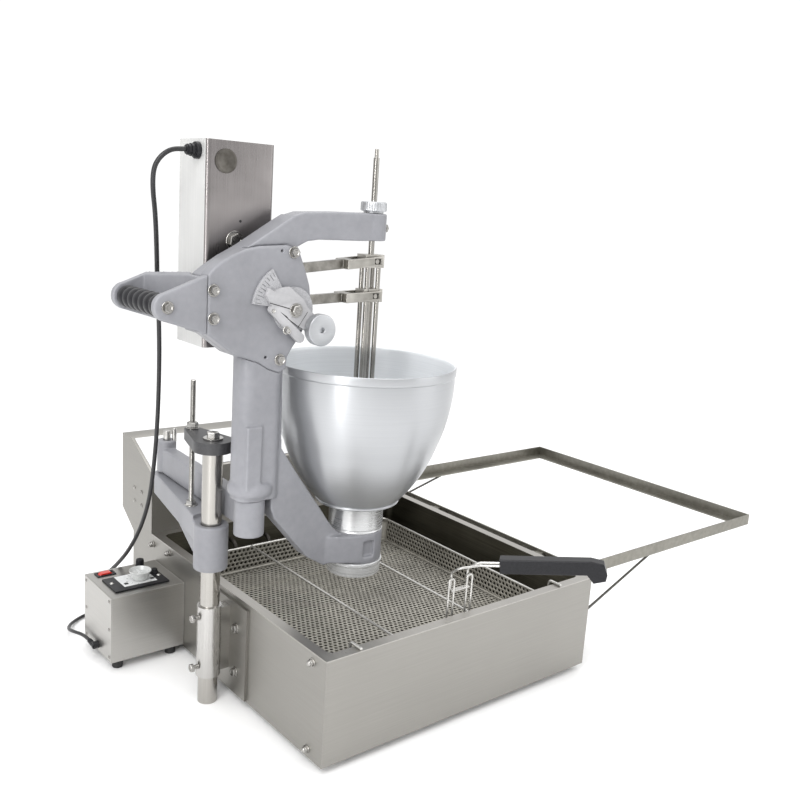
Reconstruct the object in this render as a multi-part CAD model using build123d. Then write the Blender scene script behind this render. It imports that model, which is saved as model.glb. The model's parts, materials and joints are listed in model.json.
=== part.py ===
from build123d import *
import math
import os

# Work frame: X right, Y back, Z up. X = 0 is the left wall, Y = 0 the front wall, Z = 0 the floor.
# Everything is moved at the end so that the origin is the middle of the underside.

# Fits
RUN = 0.05
AIR = 0.4
HOLE = 0.1

# Tank and control head
TANK_W = 620.0
TANK_D = 616.0
HEAD_BASE = 87.0
CAB_D = TANK_D + HEAD_BASE
FOOT_H = 14.0
TANK_H = 180.0
SHEET = 2.0
RIM_W = 18.0
PAN_DEPTH = 150.0
TOP = FOOT_H + TANK_H
PAN_Z = TOP - PAN_DEPTH
FOOT_D = 34.0
FOOT_INSET = 45.0
HEAD_OVER = 57.0
HEAD_BACK = CAB_D + HEAD_OVER
HEAD_TOP = 369.0
SLOPE_LOW = 317.0
SLOPE_RUN = 101.0
SLOPE_END = TANK_D + SLOPE_RUN
HEAD_LIP = 209.0
HEAD_HEEL = 173.0
PANEL_T = 1.5
SLOPE = math.atan2(HEAD_TOP - SLOPE_LOW, SLOPE_RUN)
SLOPE_LEN = math.hypot(HEAD_TOP - SLOPE_LOW, SLOPE_RUN)
PANEL_MID = 55.0
KNOB_RIGHT = 190.0
SWITCH_RIGHT = 110.0
LAMP_RIGHT = 65.0
LAMP_HALF = 15.0
HEAD_SCREWS = (48.0, 84.0)
KNOB_AT = (TANK_W - KNOB_RIGHT, PANEL_MID)
SWITCH_AT = (TANK_W - SWITCH_RIGHT, PANEL_MID)
LAMPS_AT = ((TANK_W - LAMP_RIGHT, PANEL_MID + LAMP_HALF), (TANK_W - LAMP_RIGHT, PANEL_MID - LAMP_HALF))
NUTS_AT = ((37.0, TOP - 17.0), (41.0, FOOT_H + 13.0), (TANK_D - 8.0, TOP - 20.0), (TANK_D - 80.0, TOP - 14.0))

# Heating elements
HEAT_D = 9.0
HEAT_Z = 66.0
HEAT_LEG_Z = 155.0
HEAT_LEG_Y = TANK_D - 41.0
HEAT_END_Y = TANK_D + 24.0
HEAT_LEFT = 90.0
HEAT_RIGHT = 130.0
HEAT_SPAN = 80.0
HEAT_FRONT = 60.0
HEAT_STEP = (TANK_W - HEAT_LEFT - HEAT_RIGHT - HEAT_SPAN) / 2
HEAT_PAIRS = [(HEAT_LEFT + HEAT_STEP * i, HEAT_LEFT + HEAT_STEP * i + HEAT_SPAN) for i in range(3)]

# Basket
BK_X0 = 26.0
BK_RIGHT = 60.0
BK_X1 = TANK_W - BK_RIGHT
BK_Y0 = 28.0
BK_BACK = 50.0
BK_Y1 = TANK_D - BK_BACK
BK_RIM = TOP - 50.0
BK_H = 50.0
BK_FLOOR = BK_RIM - BK_H
BK_T = 1.2
WIRE_D = 5.0
CROSS_X = (BK_X0 + 174.0, BK_X1 - 180.0)
HOOK_X = (BK_X0 + 40.0, BK_X1 - 29.0)
LEG_X = (276.0, 318.0)
LEG_TOP = 254.0
HAIRPIN = 12.0

# Lifter
GRIP_A = (338.0, -19.0, 286.0)
GRIP_B = (452.0, -153.0, 306.0)
GRIP_W = 24.0
GRIP_H = 26.0

# Drain frame
PIN_OUT = 10.0
PIN_X = TANK_W + PIN_OUT
FRAME_X0 = PIN_X + PIN_OUT
FRAME_LEN = 635.0
FRAME_X1 = FRAME_X0 + FRAME_LEN
FRAME_Y0 = 50.0
FRAME_BACK = 27.0
FRAME_Y1 = CAB_D + FRAME_BACK
FRAME_H = 25.0
FRAME_W = 30.0
FRAME_T = 3.0
PIN_Z = TOP - 10.0
PIN_D = 6.0
HINGE_Y = (150.0, TANK_D - 146.0)
STAY_D = 5.0
STAY_FAR_X = FRAME_X0 + 250.0
STAY_LOW_Z = TOP - 80.0

# Post, bracket and cap
POST = (-40.0, 294.0)
POST_D = 34.0
POST_TOP = 453.0
SLEEVE_D = 42.0
SLEEVE_Z = (51.0, 180.0)
PLATE_Y = (228.0, 360.0)
PLATE_Z = (17.0, 184.0)
PLATE_T = 5.0
BOLT_Y = (262.0, 326.0)
BOLT_Z = (58.0, 140.0)
SCREW_Z = (69.0, 160.0)
CAP_Z = (453.0, 473.0)
CAP_R = 33.0
CAP_TIP_R = 14.0
ROD_AT = (-38.0, 372.0)
ROD_D = 10.0
ROD_TOP = 558.0

# Arms
ELBOW = (8.0, TANK_D - 48.0)
PIN_ELBOW_D = 14.0
HUB_D = 58.0
HUB_Z = (248.0, 327.0)
ARM1_Z = (293.0, 335.0)
ARM2_Z = (337.0, 385.0)
ARM2_HALF = 13.5
BOSS_TOP = 400.0
SPIN = (-9.0, 224.0)
SPIN_D = 30.0
SOCKET_D = 50.0
SOCKET_Z = (325.0, 388.0)

# Depositor head: s is the distance from the swivel axis along X, d the distance behind it along Y
REACH = 220.0
CASE_HALF = 27.0
CASE_FACE = 5.0
CASE_WALL = 14.0
CAM_S = -10.0
CAM_Z = 728.0
CAM_R = 10.0
CAM_THROW = 2.0
PIVOT_S = -50.0
UPPER_PIVOT_Z = 748.4
LOWER_PIVOT_Z = 701.7
UPPER_PIN_Z = 774.0
LOWER_PIN_Z = 716.0
STROKE_DEG = 4.2
LINK_T = 10.0
LINK_H = 16.0
CHEEK = (14.0, 19.0)
YOKE_HALF = 20.0
YOKE_H = 22.0
YOKE_PIN_D = 8.0
RODS_AT = (11.5, 8.0)
ROD4_D = 8.0
DIAL = (50.0, 698.0)
DIAL_R = 75.0
LEVER_KNOB = (92.0, 667.0)
LEVER_KNOB_R = 25.5
GRIP_AT = (-160.0, 705.0)
PRONG_D = (-27.0, 118.0)
PRONG_T = 12.0
BOX_S = (-62.0, 59.0)
BOX_D = (54.0, 150.0)
BOX_Z = (629.0, 949.0)
BOX_T = 1.5
GLAND_D = 81.0
GLAND_Z = 931.0
GLAND_LEN = 21.0
RIM_R = 158.0
RIM_Z = 602.0
NOZZLE_R = 38.0
NOZZLE_Z = 219.0
RING_R = 48.5
RING_Z = (245.0, 301.0)
FLANGE_Z = 239.0
BOSS_Z = (808.0, 853.0)
CLAMP_Z = 829.0
GUIDE_TOP = 957.0

# Controller
CX0 = -141.5
CX1 = -1.5
CY0 = 468.0
CY1 = 597.0
CZ0 = 18.0
CZ1 = 145.0
CT = 1.5
SPEED_AT = (-66.0, 519.0)
ROCKER_AT = (-110.0, 578.0)
ROCKER_R = 15.0
PLATE3 = 3.0
CORD_EXIT = (-75.0, 617.0, 40.0)
MAINS_EXIT = (-151.0, 552.0, 30.0)

# Cords
CORD_D = 7.5
LEAD_D = 6.5
COIL_AT = (110.0, 768.0)
COIL_PITCH = 8.2
COIL_TURNS = 2.5
COIL_MID_R = 36.0
TAIL = 44.0


def block(x0, x1, y0, y1, z0, z1):
    return Pos((x0 + x1) / 2, (y0 + y1) / 2, (z0 + z1) / 2) * Box(x1 - x0, y1 - y0, z1 - z0)


def upright(at, z0, z1, d):
    return Pos(at[0], at[1], (z0 + z1) / 2) * Cylinder(d / 2, z1 - z0)


def along_y(x, z, y0, y1, d):
    return Pos(x, (y0 + y1) / 2, z) * Rot(90, 0, 0) * Cylinder(d / 2, y1 - y0)


def along_x(y, z, x0, x1, d):
    return Pos((x0 + x1) / 2, y, z) * Rot(0, 90, 0) * Cylinder(d / 2, x1 - x0)


def side_face(points, y):
    """Face of an outline given in X and Z, in the plane at Y = y, facing the front."""
    plane = Plane(origin=(0, y, 0), x_dir=(1, 0, 0), z_dir=(0, -1, 0))
    return plane * make_face(Polyline(*points, close=True))


def side_prism(points, y0, y1):
    return extrude(side_face(points, y1), amount=y1 - y0)


def taper_points(a, ra, b, rb):
    """Four tangent points of the taper that joins two circles."""
    dx = b[0] - a[0]
    dy = b[1] - a[1]
    length = math.hypot(dx, dy)
    base = math.atan2(dy, dx)
    spread = math.acos((ra - rb) / length)
    points = []
    for centre, radius, sign in ((a, ra, 1), (b, rb, 1), (b, rb, -1), (a, ra, -1)):
        angle = base + sign * spread
        points.append((centre[0] + radius * math.cos(angle), centre[1] + radius * math.sin(angle)))
    return points


def taper_plan(a, ra, b, rb, z0, z1):
    core = extrude(Pos(0, 0, z0) * make_face(Polyline(*taper_points(a, ra, b, rb), close=True)), amount=z1 - z0)
    return core + upright(a, z0, z1, 2 * ra) + upright(b, z0, z1, 2 * rb)


def taper_side(a, ra, b, rb, y0, y1):
    core = side_prism(taper_points(a, ra, b, rb), y0, y1)
    return core + along_y(a[0], a[1], y0, y1, 2 * ra) + along_y(b[0], b[1], y0, y1, 2 * rb)


def hexagon_z(at, z0, z1, across):
    return Pos(at[0], at[1], z0) * extrude(RegularPolygon(across / 2, 6, major_radius=False), amount=z1 - z0)


def hexagon_y(x, z, y0, y1, across):
    plane = Plane(origin=(x, y1, z), x_dir=(1, 0, 0), z_dir=(0, -1, 0))
    return extrude(plane * RegularPolygon(across / 2, 6, major_radius=False), amount=y1 - y0)


def hexagon_x(y, z, x0, x1, across):
    plane = Plane(origin=(x0, y, z), x_dir=(0, 1, 0), z_dir=(1, 0, 0))
    return extrude(plane * RegularPolygon(across / 2, 6, major_radius=False), amount=x1 - x0)


def wire(points, d, bend):
    """Round wire along straight runs with one bend radius."""
    path = FilletPolyline(*points, radius=bend) if len(points) > 2 else Line(*points)
    return sweep(Plane(origin=path @ 0, z_dir=path % 0) * Circle(d / 2), path=path)


def corner_radii(points):
    """Bend radius for each inner point, from the shorter neighbour run and the turn."""
    radii = []
    for before, here, after in zip(points, points[1:], points[2:]):
        first = Vector(*here) - Vector(*before)
        second = Vector(*after) - Vector(*here)
        turn = math.radians(first.get_angle(second))
        radii.append(min(400.0, 0.45 * min(first.length, second.length) / math.tan(turn / 2)))
    return radii


def cord(name, points, d):
    """Cord along straight runs joined by tangent arcs; prints its radii and checks its volume."""
    radii = corner_radii(points)
    path = FilletPolyline(*points, radius=radii)
    tube = sweep(Plane(origin=path @ 0, z_dir=path % 0) * Circle(d / 2), path=path)
    share = tube.volume / (math.pi * d * d / 4 * path.length)
    print(name, "radii", [round(r) for r in radii], "length", round(path.length), "volume share", round(share, 4))
    return tube


def biarc(p0, t0, p1, t1):
    """Two tangent arcs from p0 with direction t0 to p1 with direction t1."""
    gap = p1 - p0
    both = t0 + t1
    spare = 2 * (1 - t0.dot(t1))
    reach = gap.dot(both)
    if spare < 1e-9:
        step = gap.length ** 2 / (2 * reach)
    else:
        step = (-reach + math.sqrt(reach * reach + spare * gap.length ** 2)) / spare
    q0 = p0 + t0 * step
    q1 = p1 - t1 * step
    middle = (q0 + q1) * 0.5
    return [TangentArc(p0, middle, tangent=t0), TangentArc(middle, p1, tangent=(q1 - q0).normalized())]


def hx(s):
    return SPIN[0] + s


def hy(d):
    return SPIN[1] + d


def head_outline(points):
    return [(hx(s), z) for s, z in points]


def head_y(s, z, d0, d1, across):
    return along_y(hx(s), z, hy(d0), hy(d1), across)


parts = {}

# Cabinet, inner tank, feet and nuts
cabinet = block(0, TANK_W, 0, CAB_D, FOOT_H, TOP - SHEET)
cabinet -= block(SHEET, TANK_W - SHEET, SHEET, CAB_D - SHEET, FOOT_H + SHEET, TOP)
for y in BOLT_Y:
    for z in BOLT_Z:
        cabinet -= along_x(y, z, -1, SHEET + 1, 8 + 2 * HOLE)
parts["cabinet"] = cabinet

pan_y1 = TANK_D - RIM_W
pan_out = block(RIM_W - SHEET, TANK_W - RIM_W + SHEET, RIM_W - SHEET, pan_y1 + SHEET, PAN_Z, TOP)
pan_out = fillet(pan_out.edges().filter_by(Axis.Z), 14 + SHEET)
pan_in = block(RIM_W, TANK_W - RIM_W, RIM_W, pan_y1, PAN_Z + SHEET, TOP + 5)
pan_in = fillet(pan_in.edges().filter_by(Axis.Z), 14)
oil_tank = block(0, TANK_W, 0, TANK_D - 0.2, TOP - SHEET, TOP) + pan_out - pan_in
RAIL_D = 8.0
RAIL_Y = (110.0, TANK_D - 136.0)
for y in RAIL_Y:
    oil_tank += along_x(y, BK_FLOOR - 0.1 - RAIL_D / 2, RIM_W - 1, TANK_W - RIM_W + 1, RAIL_D)
for pair in HEAT_PAIRS:
    for x in pair:
        oil_tank -= along_y(x, HEAT_LEG_Z, pan_y1 - 5, pan_y1 + 5, HEAT_D + 2 * RUN)
parts["oil_tank"] = oil_tank

feet = [(FOOT_INSET, FOOT_INSET), (TANK_W - FOOT_INSET, FOOT_INSET),
        (FOOT_INSET, CAB_D - FOOT_INSET), (TANK_W - FOOT_INSET, CAB_D - FOOT_INSET)]
parts["tank_feet"] = Compound([upright(at, 0, FOOT_H, FOOT_D) for at in feet])


def acorn(y, z, sign):
    face = 0 if sign < 0 else TANK_W
    hexagon = hexagon_x(y, z, min(face, face + 5 * sign), max(face, face + 5 * sign), 11)
    return hexagon + Pos(face + 5 * sign, y, z) * Sphere(4.6)


wall_parts = []
for y, z in NUTS_AT:
    wall_parts += [acorn(y, z, -1), acorn(y, z, 1)]
for y in BOLT_Y:
    for z in BOLT_Z:
        bolt = hexagon_x(y, z, -PLATE_T - 6, -PLATE_T, 13) + along_x(y, z, -PLATE_T, 9, 8)
        wall_parts.append(bolt + hexagon_x(y, z, SHEET, 8, 13))
post_face = POST[0] - POST_D / 2
for z in SCREW_Z:
    screw = along_x(POST[1], z, post_face - 11, post_face, 8)
    wall_parts.append(screw + hexagon_x(POST[1], z, post_face - 17, post_face - 11, 13))

# Control head
head_points = [(TANK_D, TOP - SHEET), (TANK_D, SLOPE_LOW), (SLOPE_END, HEAD_TOP), (HEAD_BACK, HEAD_TOP),
               (HEAD_BACK, HEAD_LIP), (CAB_D + 0.1, HEAD_HEEL), (CAB_D + 0.1, TOP - SHEET)]
end_plane = Plane(origin=(0, 0, 0), x_dir=(0, 1, 0), z_dir=(1, 0, 0))
head_face = make_face(Polyline(*head_points, close=True))
head_outer = extrude(end_plane * head_face, amount=TANK_W)
head_inner = Pos(SHEET, 0, 0) * extrude(end_plane * offset(head_face, -SHEET), amount=TANK_W - 2 * SHEET)
panel_plane = Plane(origin=(0, TANK_D, SLOPE_LOW), x_dir=(1, 0, 0),
                    z_dir=(0, -math.sin(SLOPE), math.cos(SLOPE)))


def on_panel(at, w0, w1, shape):
    return panel_plane * Pos(at[0], at[1], (w0 + w1) / 2) * shape


def panel_round(at, w0, w1, d):
    return on_panel(at, w0, w1, Cylinder(d / 2, w1 - w0))


SHAFT_D = 8.0
SW_R = 13.0
SW_LEN = 20.0
SW_W = -6.0
switch_gap = on_panel(SWITCH_AT, -3, 3, Box(SW_LEN + 0.8, 26.8, 6))
openings = panel_round(KNOB_AT, -3, 3, SHAFT_D + 2 * RUN) + switch_gap
for at in LAMPS_AT:
    openings += panel_round(at, -3, 3, SHAFT_D + 2 * RUN)
parts["control_head"] = head_outer - head_inner - openings
panel = panel_plane * Pos(TANK_W / 2, SLOPE_LEN / 2, PANEL_T / 2) * Box(TANK_W - 12, SLOPE_LEN - 12, PANEL_T)
parts["head_panel"] = panel - openings
thermostat = on_panel(KNOB_AT, -32, -SHEET, Box(40, 40, 30)) + panel_round(KNOB_AT, -SHEET, 14, SHAFT_D)
sw_body = on_panel(SWITCH_AT, -28, -SHEET, Box(26, 30, 26))
sw_body -= panel_plane * Pos(SWITCH_AT[0], SWITCH_AT[1], SW_W) * Rot(0, 90, 0) * Cylinder(SW_R + AIR, SW_LEN + 0.8)
sw_pin = panel_plane * Pos(SWITCH_AT[0], SWITCH_AT[1], SW_W) * Rot(0, 90, 0) * Cylinder(2, 24)
parts["panel_controls"] = Compound([thermostat, sw_body + sw_pin])
knob = panel_round(KNOB_AT, PANEL_T + AIR, PANEL_T + 5, 44) + panel_round(KNOB_AT, PANEL_T + 5, PANEL_T + 20, 34)
parts["thermostat_knob"] = knob - panel_round(KNOB_AT, 0, 14 + AIR, SHAFT_D + 2 * RUN)
switch = panel_plane * Pos(SWITCH_AT[0], SWITCH_AT[1], SW_W) * Rot(0, 90, 0) * Cylinder(SW_R, SW_LEN)
switch &= on_panel(SWITCH_AT, -12, 5, Box(SW_LEN, 40, 17))
switch -= panel_plane * Pos(SWITCH_AT[0], SWITCH_AT[1], SW_W) * Rot(0, 90, 0) * Cylinder(2 + RUN, 40)
parts["heater_switch"] = switch
parts["pilot_lamps"] = Compound([panel_round(at, PANEL_T, PANEL_T + 5, 13) + panel_round(at, -10, PANEL_T, SHAFT_D)
                                 for at in LAMPS_AT])

# Heating elements
loops = []
for x0, x1 in HEAT_PAIRS:
    run = [(x0, HEAT_END_Y, HEAT_LEG_Z), (x0, HEAT_LEG_Y, HEAT_LEG_Z), (x0, HEAT_LEG_Y, HEAT_Z), (x0, HEAT_FRONT, HEAT_Z),
           (x1, HEAT_FRONT, HEAT_Z), (x1, HEAT_LEG_Y, HEAT_Z), (x1, HEAT_LEG_Y, HEAT_LEG_Z), (x1, HEAT_END_Y, HEAT_LEG_Z)]
    loops.append(wire(run, HEAT_D, 14))
parts["heating_elements"] = Compound(loops)

# Post and its bracket
post = upright(POST, 0, POST_TOP, POST_D) - upright(POST, -1, POST_TOP - 45, POST_D - 8)
BOLT12 = 12.0
parts["post"] = post - upright(POST, POST_TOP - 42, POST_TOP + 1, BOLT12 + 2 * HOLE)
bracket = block(-PLATE_T, 0, *PLATE_Y, *PLATE_Z) + upright(POST, *SLEEVE_Z, SLEEVE_D)
bracket += block(POST[0], -PLATE_T, POST[1] - 11, POST[1] + 11, SLEEVE_Z[0] + 6, SLEEVE_Z[1] - 6)
bracket -= upright(POST, 0, 300, POST_D + 2 * RUN)
for y in BOLT_Y:
    for z in BOLT_Z:
        bracket -= along_x(y, z, -PLATE_T - 1, 1, 8 + 2 * HOLE)
for z in SCREW_Z:
    bracket -= along_x(POST[1], z, post_face - 20, post_face, 8 + 2 * RUN)
parts["post_bracket"] = bracket

# Swinging cap plate with the lift nut; the rod rises with the lower arm
arm1_dir = Vector(ELBOW[0] - POST[0], ELBOW[1] - POST[1]).normalized()
cap = taper_plan(POST, CAP_R, ROD_AT, CAP_TIP_R, CAP_Z[0] + AIR, CAP_Z[1])
cap -= upright(POST, 400, 500, BOLT12 + 2 * RUN)
cap -= upright(ROD_AT, 400, 500, ROD_D + 2 * RUN)
parts["swing_cap"] = cap
cap_bolt = upright(POST, POST_TOP - 40, CAP_Z[1], BOLT12) + upright(POST, CAP_Z[1], CAP_Z[1] + 3, 33)
cap_bolt += hexagon_z(POST, CAP_Z[1] + 3, CAP_Z[1] + 12, 19)
lift_nut = hexagon_z(ROD_AT, CAP_Z[1], CAP_Z[1] + 12, 17) - upright(ROD_AT, 400, 600, ROD_D + 2 * RUN)
parts["cap_fasteners"] = Compound([cap_bolt, lift_nut])

# Lower arm, its rod and the elbow pin
arm1 = taper_plan(POST, 26, ELBOW, 23, *ARM1_Z)
arm1 -= upright(POST, HUB_Z[1], ARM1_Z[1] + 1, HUB_D + 8)
arm1 += upright(POST, *HUB_Z, HUB_D)
gusset_plane = Plane(origin=(POST[0], POST[1], 0), x_dir=(arm1_dir.X, arm1_dir.Y, 0),
                     z_dir=(arm1_dir.Y, -arm1_dir.X, 0))
gusset = make_face(Polyline((10, HUB_Z[0] + 3), (60, HUB_Z[0] + 12), (190, ARM1_Z[0] + 2), (10, ARM1_Z[0] + 2), close=True))
arm1 += extrude(gusset_plane * gusset, amount=16, both=True)
arm1 -= upright(POST, 200, 400, POST_D + 2 * RUN)
arm1 -= upright(ROD_AT, ARM1_Z[1] - 30, ARM1_Z[1] + 1, ROD_D + 2 * RUN)
arm1 -= upright(ELBOW, ARM1_Z[0] - 1, ARM1_Z[1] + 1, PIN_ELBOW_D + 2 * RUN)
parts["lower_arm"] = arm1
lift_rod = upright(ROD_AT, ARM1_Z[1] - 30, ROD_TOP, ROD_D)
parts["lift_rod"] = lift_rod + hexagon_z(ROD_AT, ARM1_Z[1], ARM1_Z[1] + 9, 17)
pin = upright(ELBOW, ARM1_Z[0], BOSS_TOP + 18, PIN_ELBOW_D) + upright(ELBOW, ARM1_Z[0] - 6, ARM1_Z[0], 26)
parts["elbow_pin"] = pin

# Upper arm with the elbow boss and the socket
arm2 = taper_plan(ELBOW, ARM2_HALF, SPIN, ARM2_HALF, *ARM2_Z)
arm2 += upright(ELBOW, ARM2_Z[0], BOSS_TOP, 36) + upright(SPIN, *SOCKET_Z, SOCKET_D)
arm2 -= upright(ELBOW, 300, 450, PIN_ELBOW_D + 2 * RUN) + upright(SPIN, 300, 450, SPIN_D + 2 * RUN)
parts["upper_arm"] = arm2

# Depositor casting
BOWL = (hx(REACH), hy(0))
low_side = [(73, 760), (82, 735), (86, 706), (80, 680), (69, 656), (55, 638), (45, 622), (44, 604), (31, 597),
            (11, 604), (-7, 615), (-31, 624), (-48, 628), (-64, 640), (-80, 652)]
ridge = [(-79, 763), (-57, 777), (-25, 794), (2, 811), (39, 834), (56, 844)]
case_back = [(-97, 664), (-97, 750)] + ridge + [(74, 826), (64, 796)] + low_side
case_front = [(-97, 664), (-97, 752), (-87, 763), (-75, 772), (-56, 782), (-36, 790), (-10, 795), (40, 798),
              (60, 790)] + low_side
cavity = [(-80, 672), (-80, 742), (-62, 762), (-34, 772), (20, 780), (30, 782), (44, 772), (58, 750), (72, 728),
          (76, 706), (71, 683), (60, 664), (45, 652), (30, 642), (-50, 656)]
top_arm = ridge + [(72, 849), (138, 852), (REACH, BOSS_Z[1]), (REACH, BOSS_Z[0]), (180, 807), (128, 807), (102, 807),
                   (80, 804), (64, 796), (53, 790), (-35, 772)]
web = [(-20, 640), (44, 612), (44, 590), (47, 470), (77, 426), (129, 354), (149, 325), (161, 310), (168, 304),
       (172, RING_Z[1]), (REACH, RING_Z[1]), (REACH, RING_Z[0]), (160, RING_Z[0] + 2), (142, 246), (107, 268), (69, 313),
       (39, 348), (31, 368), (31, 394), (-20, 420)]
frame = upright(SPIN, SOCKET_Z[0] + 6, SOCKET_Z[1] + 20, SPIN_D) + upright(SPIN, SOCKET_Z[1] + AIR, SOCKET_Z[1] + 28, 58)
column = block(hx(-31), hx(44), hy(-26), hy(26), SOCKET_Z[1] + AIR, 655)
column = fillet(column.edges().filter_by(Axis.Z), 20)
frame += column
frame += side_prism(head_outline(web), hy(-17), hy(17))
frame += upright(BOWL, *RING_Z, 2 * RING_R)
frame += side_prism(head_outline(case_back), hy(0), hy(CASE_HALF))
frame += side_prism(head_outline(top_arm), hy(-18), hy(18))
frame += upright(BOWL, *BOSS_Z, 46)
for s, z in ((-40, 672), (38, 772)):
    frame += head_y(s, z, CASE_HALF - 1, BOX_D[0], 22)
cover_room = side_prism(head_outline(case_front), hy(-CASE_HALF - 5), hy(0))
frame -= cover_room
inner = side_prism(head_outline(cavity), hy(-CASE_HALF + CASE_FACE), hy(CASE_HALF - CASE_FACE))
slot = block(hx(40), hx(120), hy(-6), hy(6), 694, 780)
frame -= inner + slot
SHAFT16 = 16.0
frame -= head_y(CAM_S, CAM_Z, 0, 80, SHAFT16 + 4)
frame -= upright(BOWL, RING_Z[0] - 20, RING_Z[1] + 10, 2 * (NOZZLE_R + RUN))
NUT_BUSH = 16.0
frame -= upright(BOWL, 700, 900, NUT_BUSH + 2 * RUN)
cover_bolts = ((-88, 729), (-87, 687), (30, 619), (49, 787))
for s, z in cover_bolts:
    frame -= head_y(s, z, -1, 12, 6 + 2 * HOLE)
frame -= along_x(hy(0), CLAMP_Z, BOWL[0] + 12, BOWL[0] + 40, 8 + 2 * RUN)
parts["head_frame"] = frame
cover = side_prism(head_outline(case_front), hy(-CASE_HALF), hy(0))
cover = fillet(cover.faces().sort_by(Axis.Y)[0].edges(), 4)
cover -= inner + slot
cover -= head_y(*DIAL, -40, 0, 12 + 2 * HOLE)
for s, z in cover_bolts:
    cover -= head_y(s, z, -40, 1, 6 + 2 * HOLE)
parts["case_cover"] = cover
fasteners = []
for s, z in cover_bolts:
    head = hexagon_y(hx(s), z, hy(-CASE_HALF - 7), hy(-CASE_HALF), 13)
    fasteners.append(head + head_y(s, z, -CASE_HALF, 11, 6))
DIAL_T = 4.0
LEVER_T = 6.0
LEVER_D1 = -CASE_HALF - DIAL_T - AIR
LEVER_D0 = LEVER_D1 - LEVER_T
shoulder = head_y(*DIAL, LEVER_D0 - AIR, -CASE_HALF + CASE_FACE, 12)
fasteners.append(shoulder + hexagon_y(hx(DIAL[0]), DIAL[1], hy(LEVER_D0 - AIR - 6), hy(LEVER_D0 - AIR), 17))
prong_end = PRONG_D[1] + PRONG_T
axle = head_y(*GRIP_AT, PRONG_D[0], prong_end, 8)
axle += hexagon_y(hx(GRIP_AT[0]), GRIP_AT[1], hy(PRONG_D[0] - 6), hy(PRONG_D[0]), 13)
axle += hexagon_y(hx(GRIP_AT[0]), GRIP_AT[1], hy(prong_end), hy(prong_end + 6), 13)
fasteners.append(axle)
clamp = along_x(hy(0), CLAMP_Z, BOWL[0] + 12, BOWL[0] + 23, 8)
fasteners.append(clamp + hexagon_x(hy(0), CLAMP_Z, BOWL[0] + 23, BOWL[0] + 30, 13))
fasteners.append(hexagon_y(hx(-10), 797, hy(BOX_D[0] - 8), hy(BOX_D[0]), 22))
parts["case_bolts"] = Compound(fasteners)

# Dial sector, size lever and its knob
fan = [(0, 0)]
for step in range(11):
    angle = math.radians(122 + 5 * step)
    fan.append((DIAL_R * math.cos(angle), DIAL_R * math.sin(angle)))
fan_world = [(hx(DIAL[0] + a), DIAL[1] + b) for a, b in fan]
dial = side_prism(fan_world, hy(-CASE_HALF - DIAL_T), hy(-CASE_HALF))
dial += head_y(*DIAL, -CASE_HALF - DIAL_T, -CASE_HALF, 72)
dial -= head_y(*DIAL, -60, 0, 12 + 2 * HOLE)
parts["dial_plate"] = dial
pointer = [(-4, 722), (0, 733), (10, 728), (21, 733), (37, 735), (63, 716), (74, 699), (62, 672), (6, 706)]
lever = side_prism(head_outline(pointer), hy(LEVER_D0), hy(LEVER_D1))
lever += taper_side((hx(DIAL[0]), DIAL[1]), 18, (hx(LEVER_KNOB[0]), LEVER_KNOB[1]), 13, hy(LEVER_D0), hy(LEVER_D1))
lever += taper_side((hx(8), 700), 6, (hx(60), 654), 8, hy(LEVER_D0), hy(LEVER_D1))
lever -= head_y(*DIAL, -60, 0, 12 + 2 * RUN)
lever -= head_y(*LEVER_KNOB, -60, 0, 10 + 2 * RUN)
parts["size_lever"] = lever
knob = head_y(*LEVER_KNOB, LEVER_D0 - AIR - 15, LEVER_D0 - AIR, 2 * LEVER_KNOB_R)
parts["lever_knob"] = knob + head_y(*LEVER_KNOB, LEVER_D0 - AIR, LEVER_D1, 10)

# Handle fork and grip
PRONG_R = 21.0
grip_s, grip_z = GRIP_AT
cheek_side = head_outline([(-97, 752), (-97, 664), (grip_s - 6, grip_z - 20), (grip_s - 8, grip_z + 19)])
fork = block(hx(-107), hx(-97), hy(PRONG_D[0]), hy(CASE_HALF), 664, 748)
fork += side_prism(cheek_side, hy(PRONG_D[0]), hy(PRONG_D[0] + PRONG_T))
slant = [(grip_s - 4, PRONG_D[1]), (grip_s - 4, prong_end), (grip_s + 38, prong_end), (-97, CASE_HALF),
         (-107, CASE_HALF - 13), (grip_s + 29, PRONG_D[1])]
slant_plan = make_face(Polyline(*[(hx(s), hy(d)) for s, d in slant], close=True))
far_cheek = Pos(0, 0, 640) * extrude(slant_plan, amount=130, dir=(0, 0, 1))
fork += far_cheek & side_prism(cheek_side, hy(0), hy(prong_end + 10))
for d0 in PRONG_D:
    fork += head_y(*GRIP_AT, d0, d0 + PRONG_T, 2 * PRONG_R)
fork -= head_y(*GRIP_AT, -60, 200, 8 + 2 * HOLE)
parts["handle_fork"] = fork
grip_d0 = PRONG_D[0] + PRONG_T
grip_len = PRONG_D[1] - grip_d0
grip = head_y(*GRIP_AT, grip_d0, PRONG_D[1], 30)
RIBS = 8
for i in range(RIBS):
    middle = grip_d0 + grip_len * (i + 0.5) / RIBS
    grip += head_y(*GRIP_AT, middle - 5.5, middle + 5.5, 35)
parts["swing_grip"] = grip - head_y(*GRIP_AT, -60, 200, 8 + 2 * HOLE)

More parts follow.
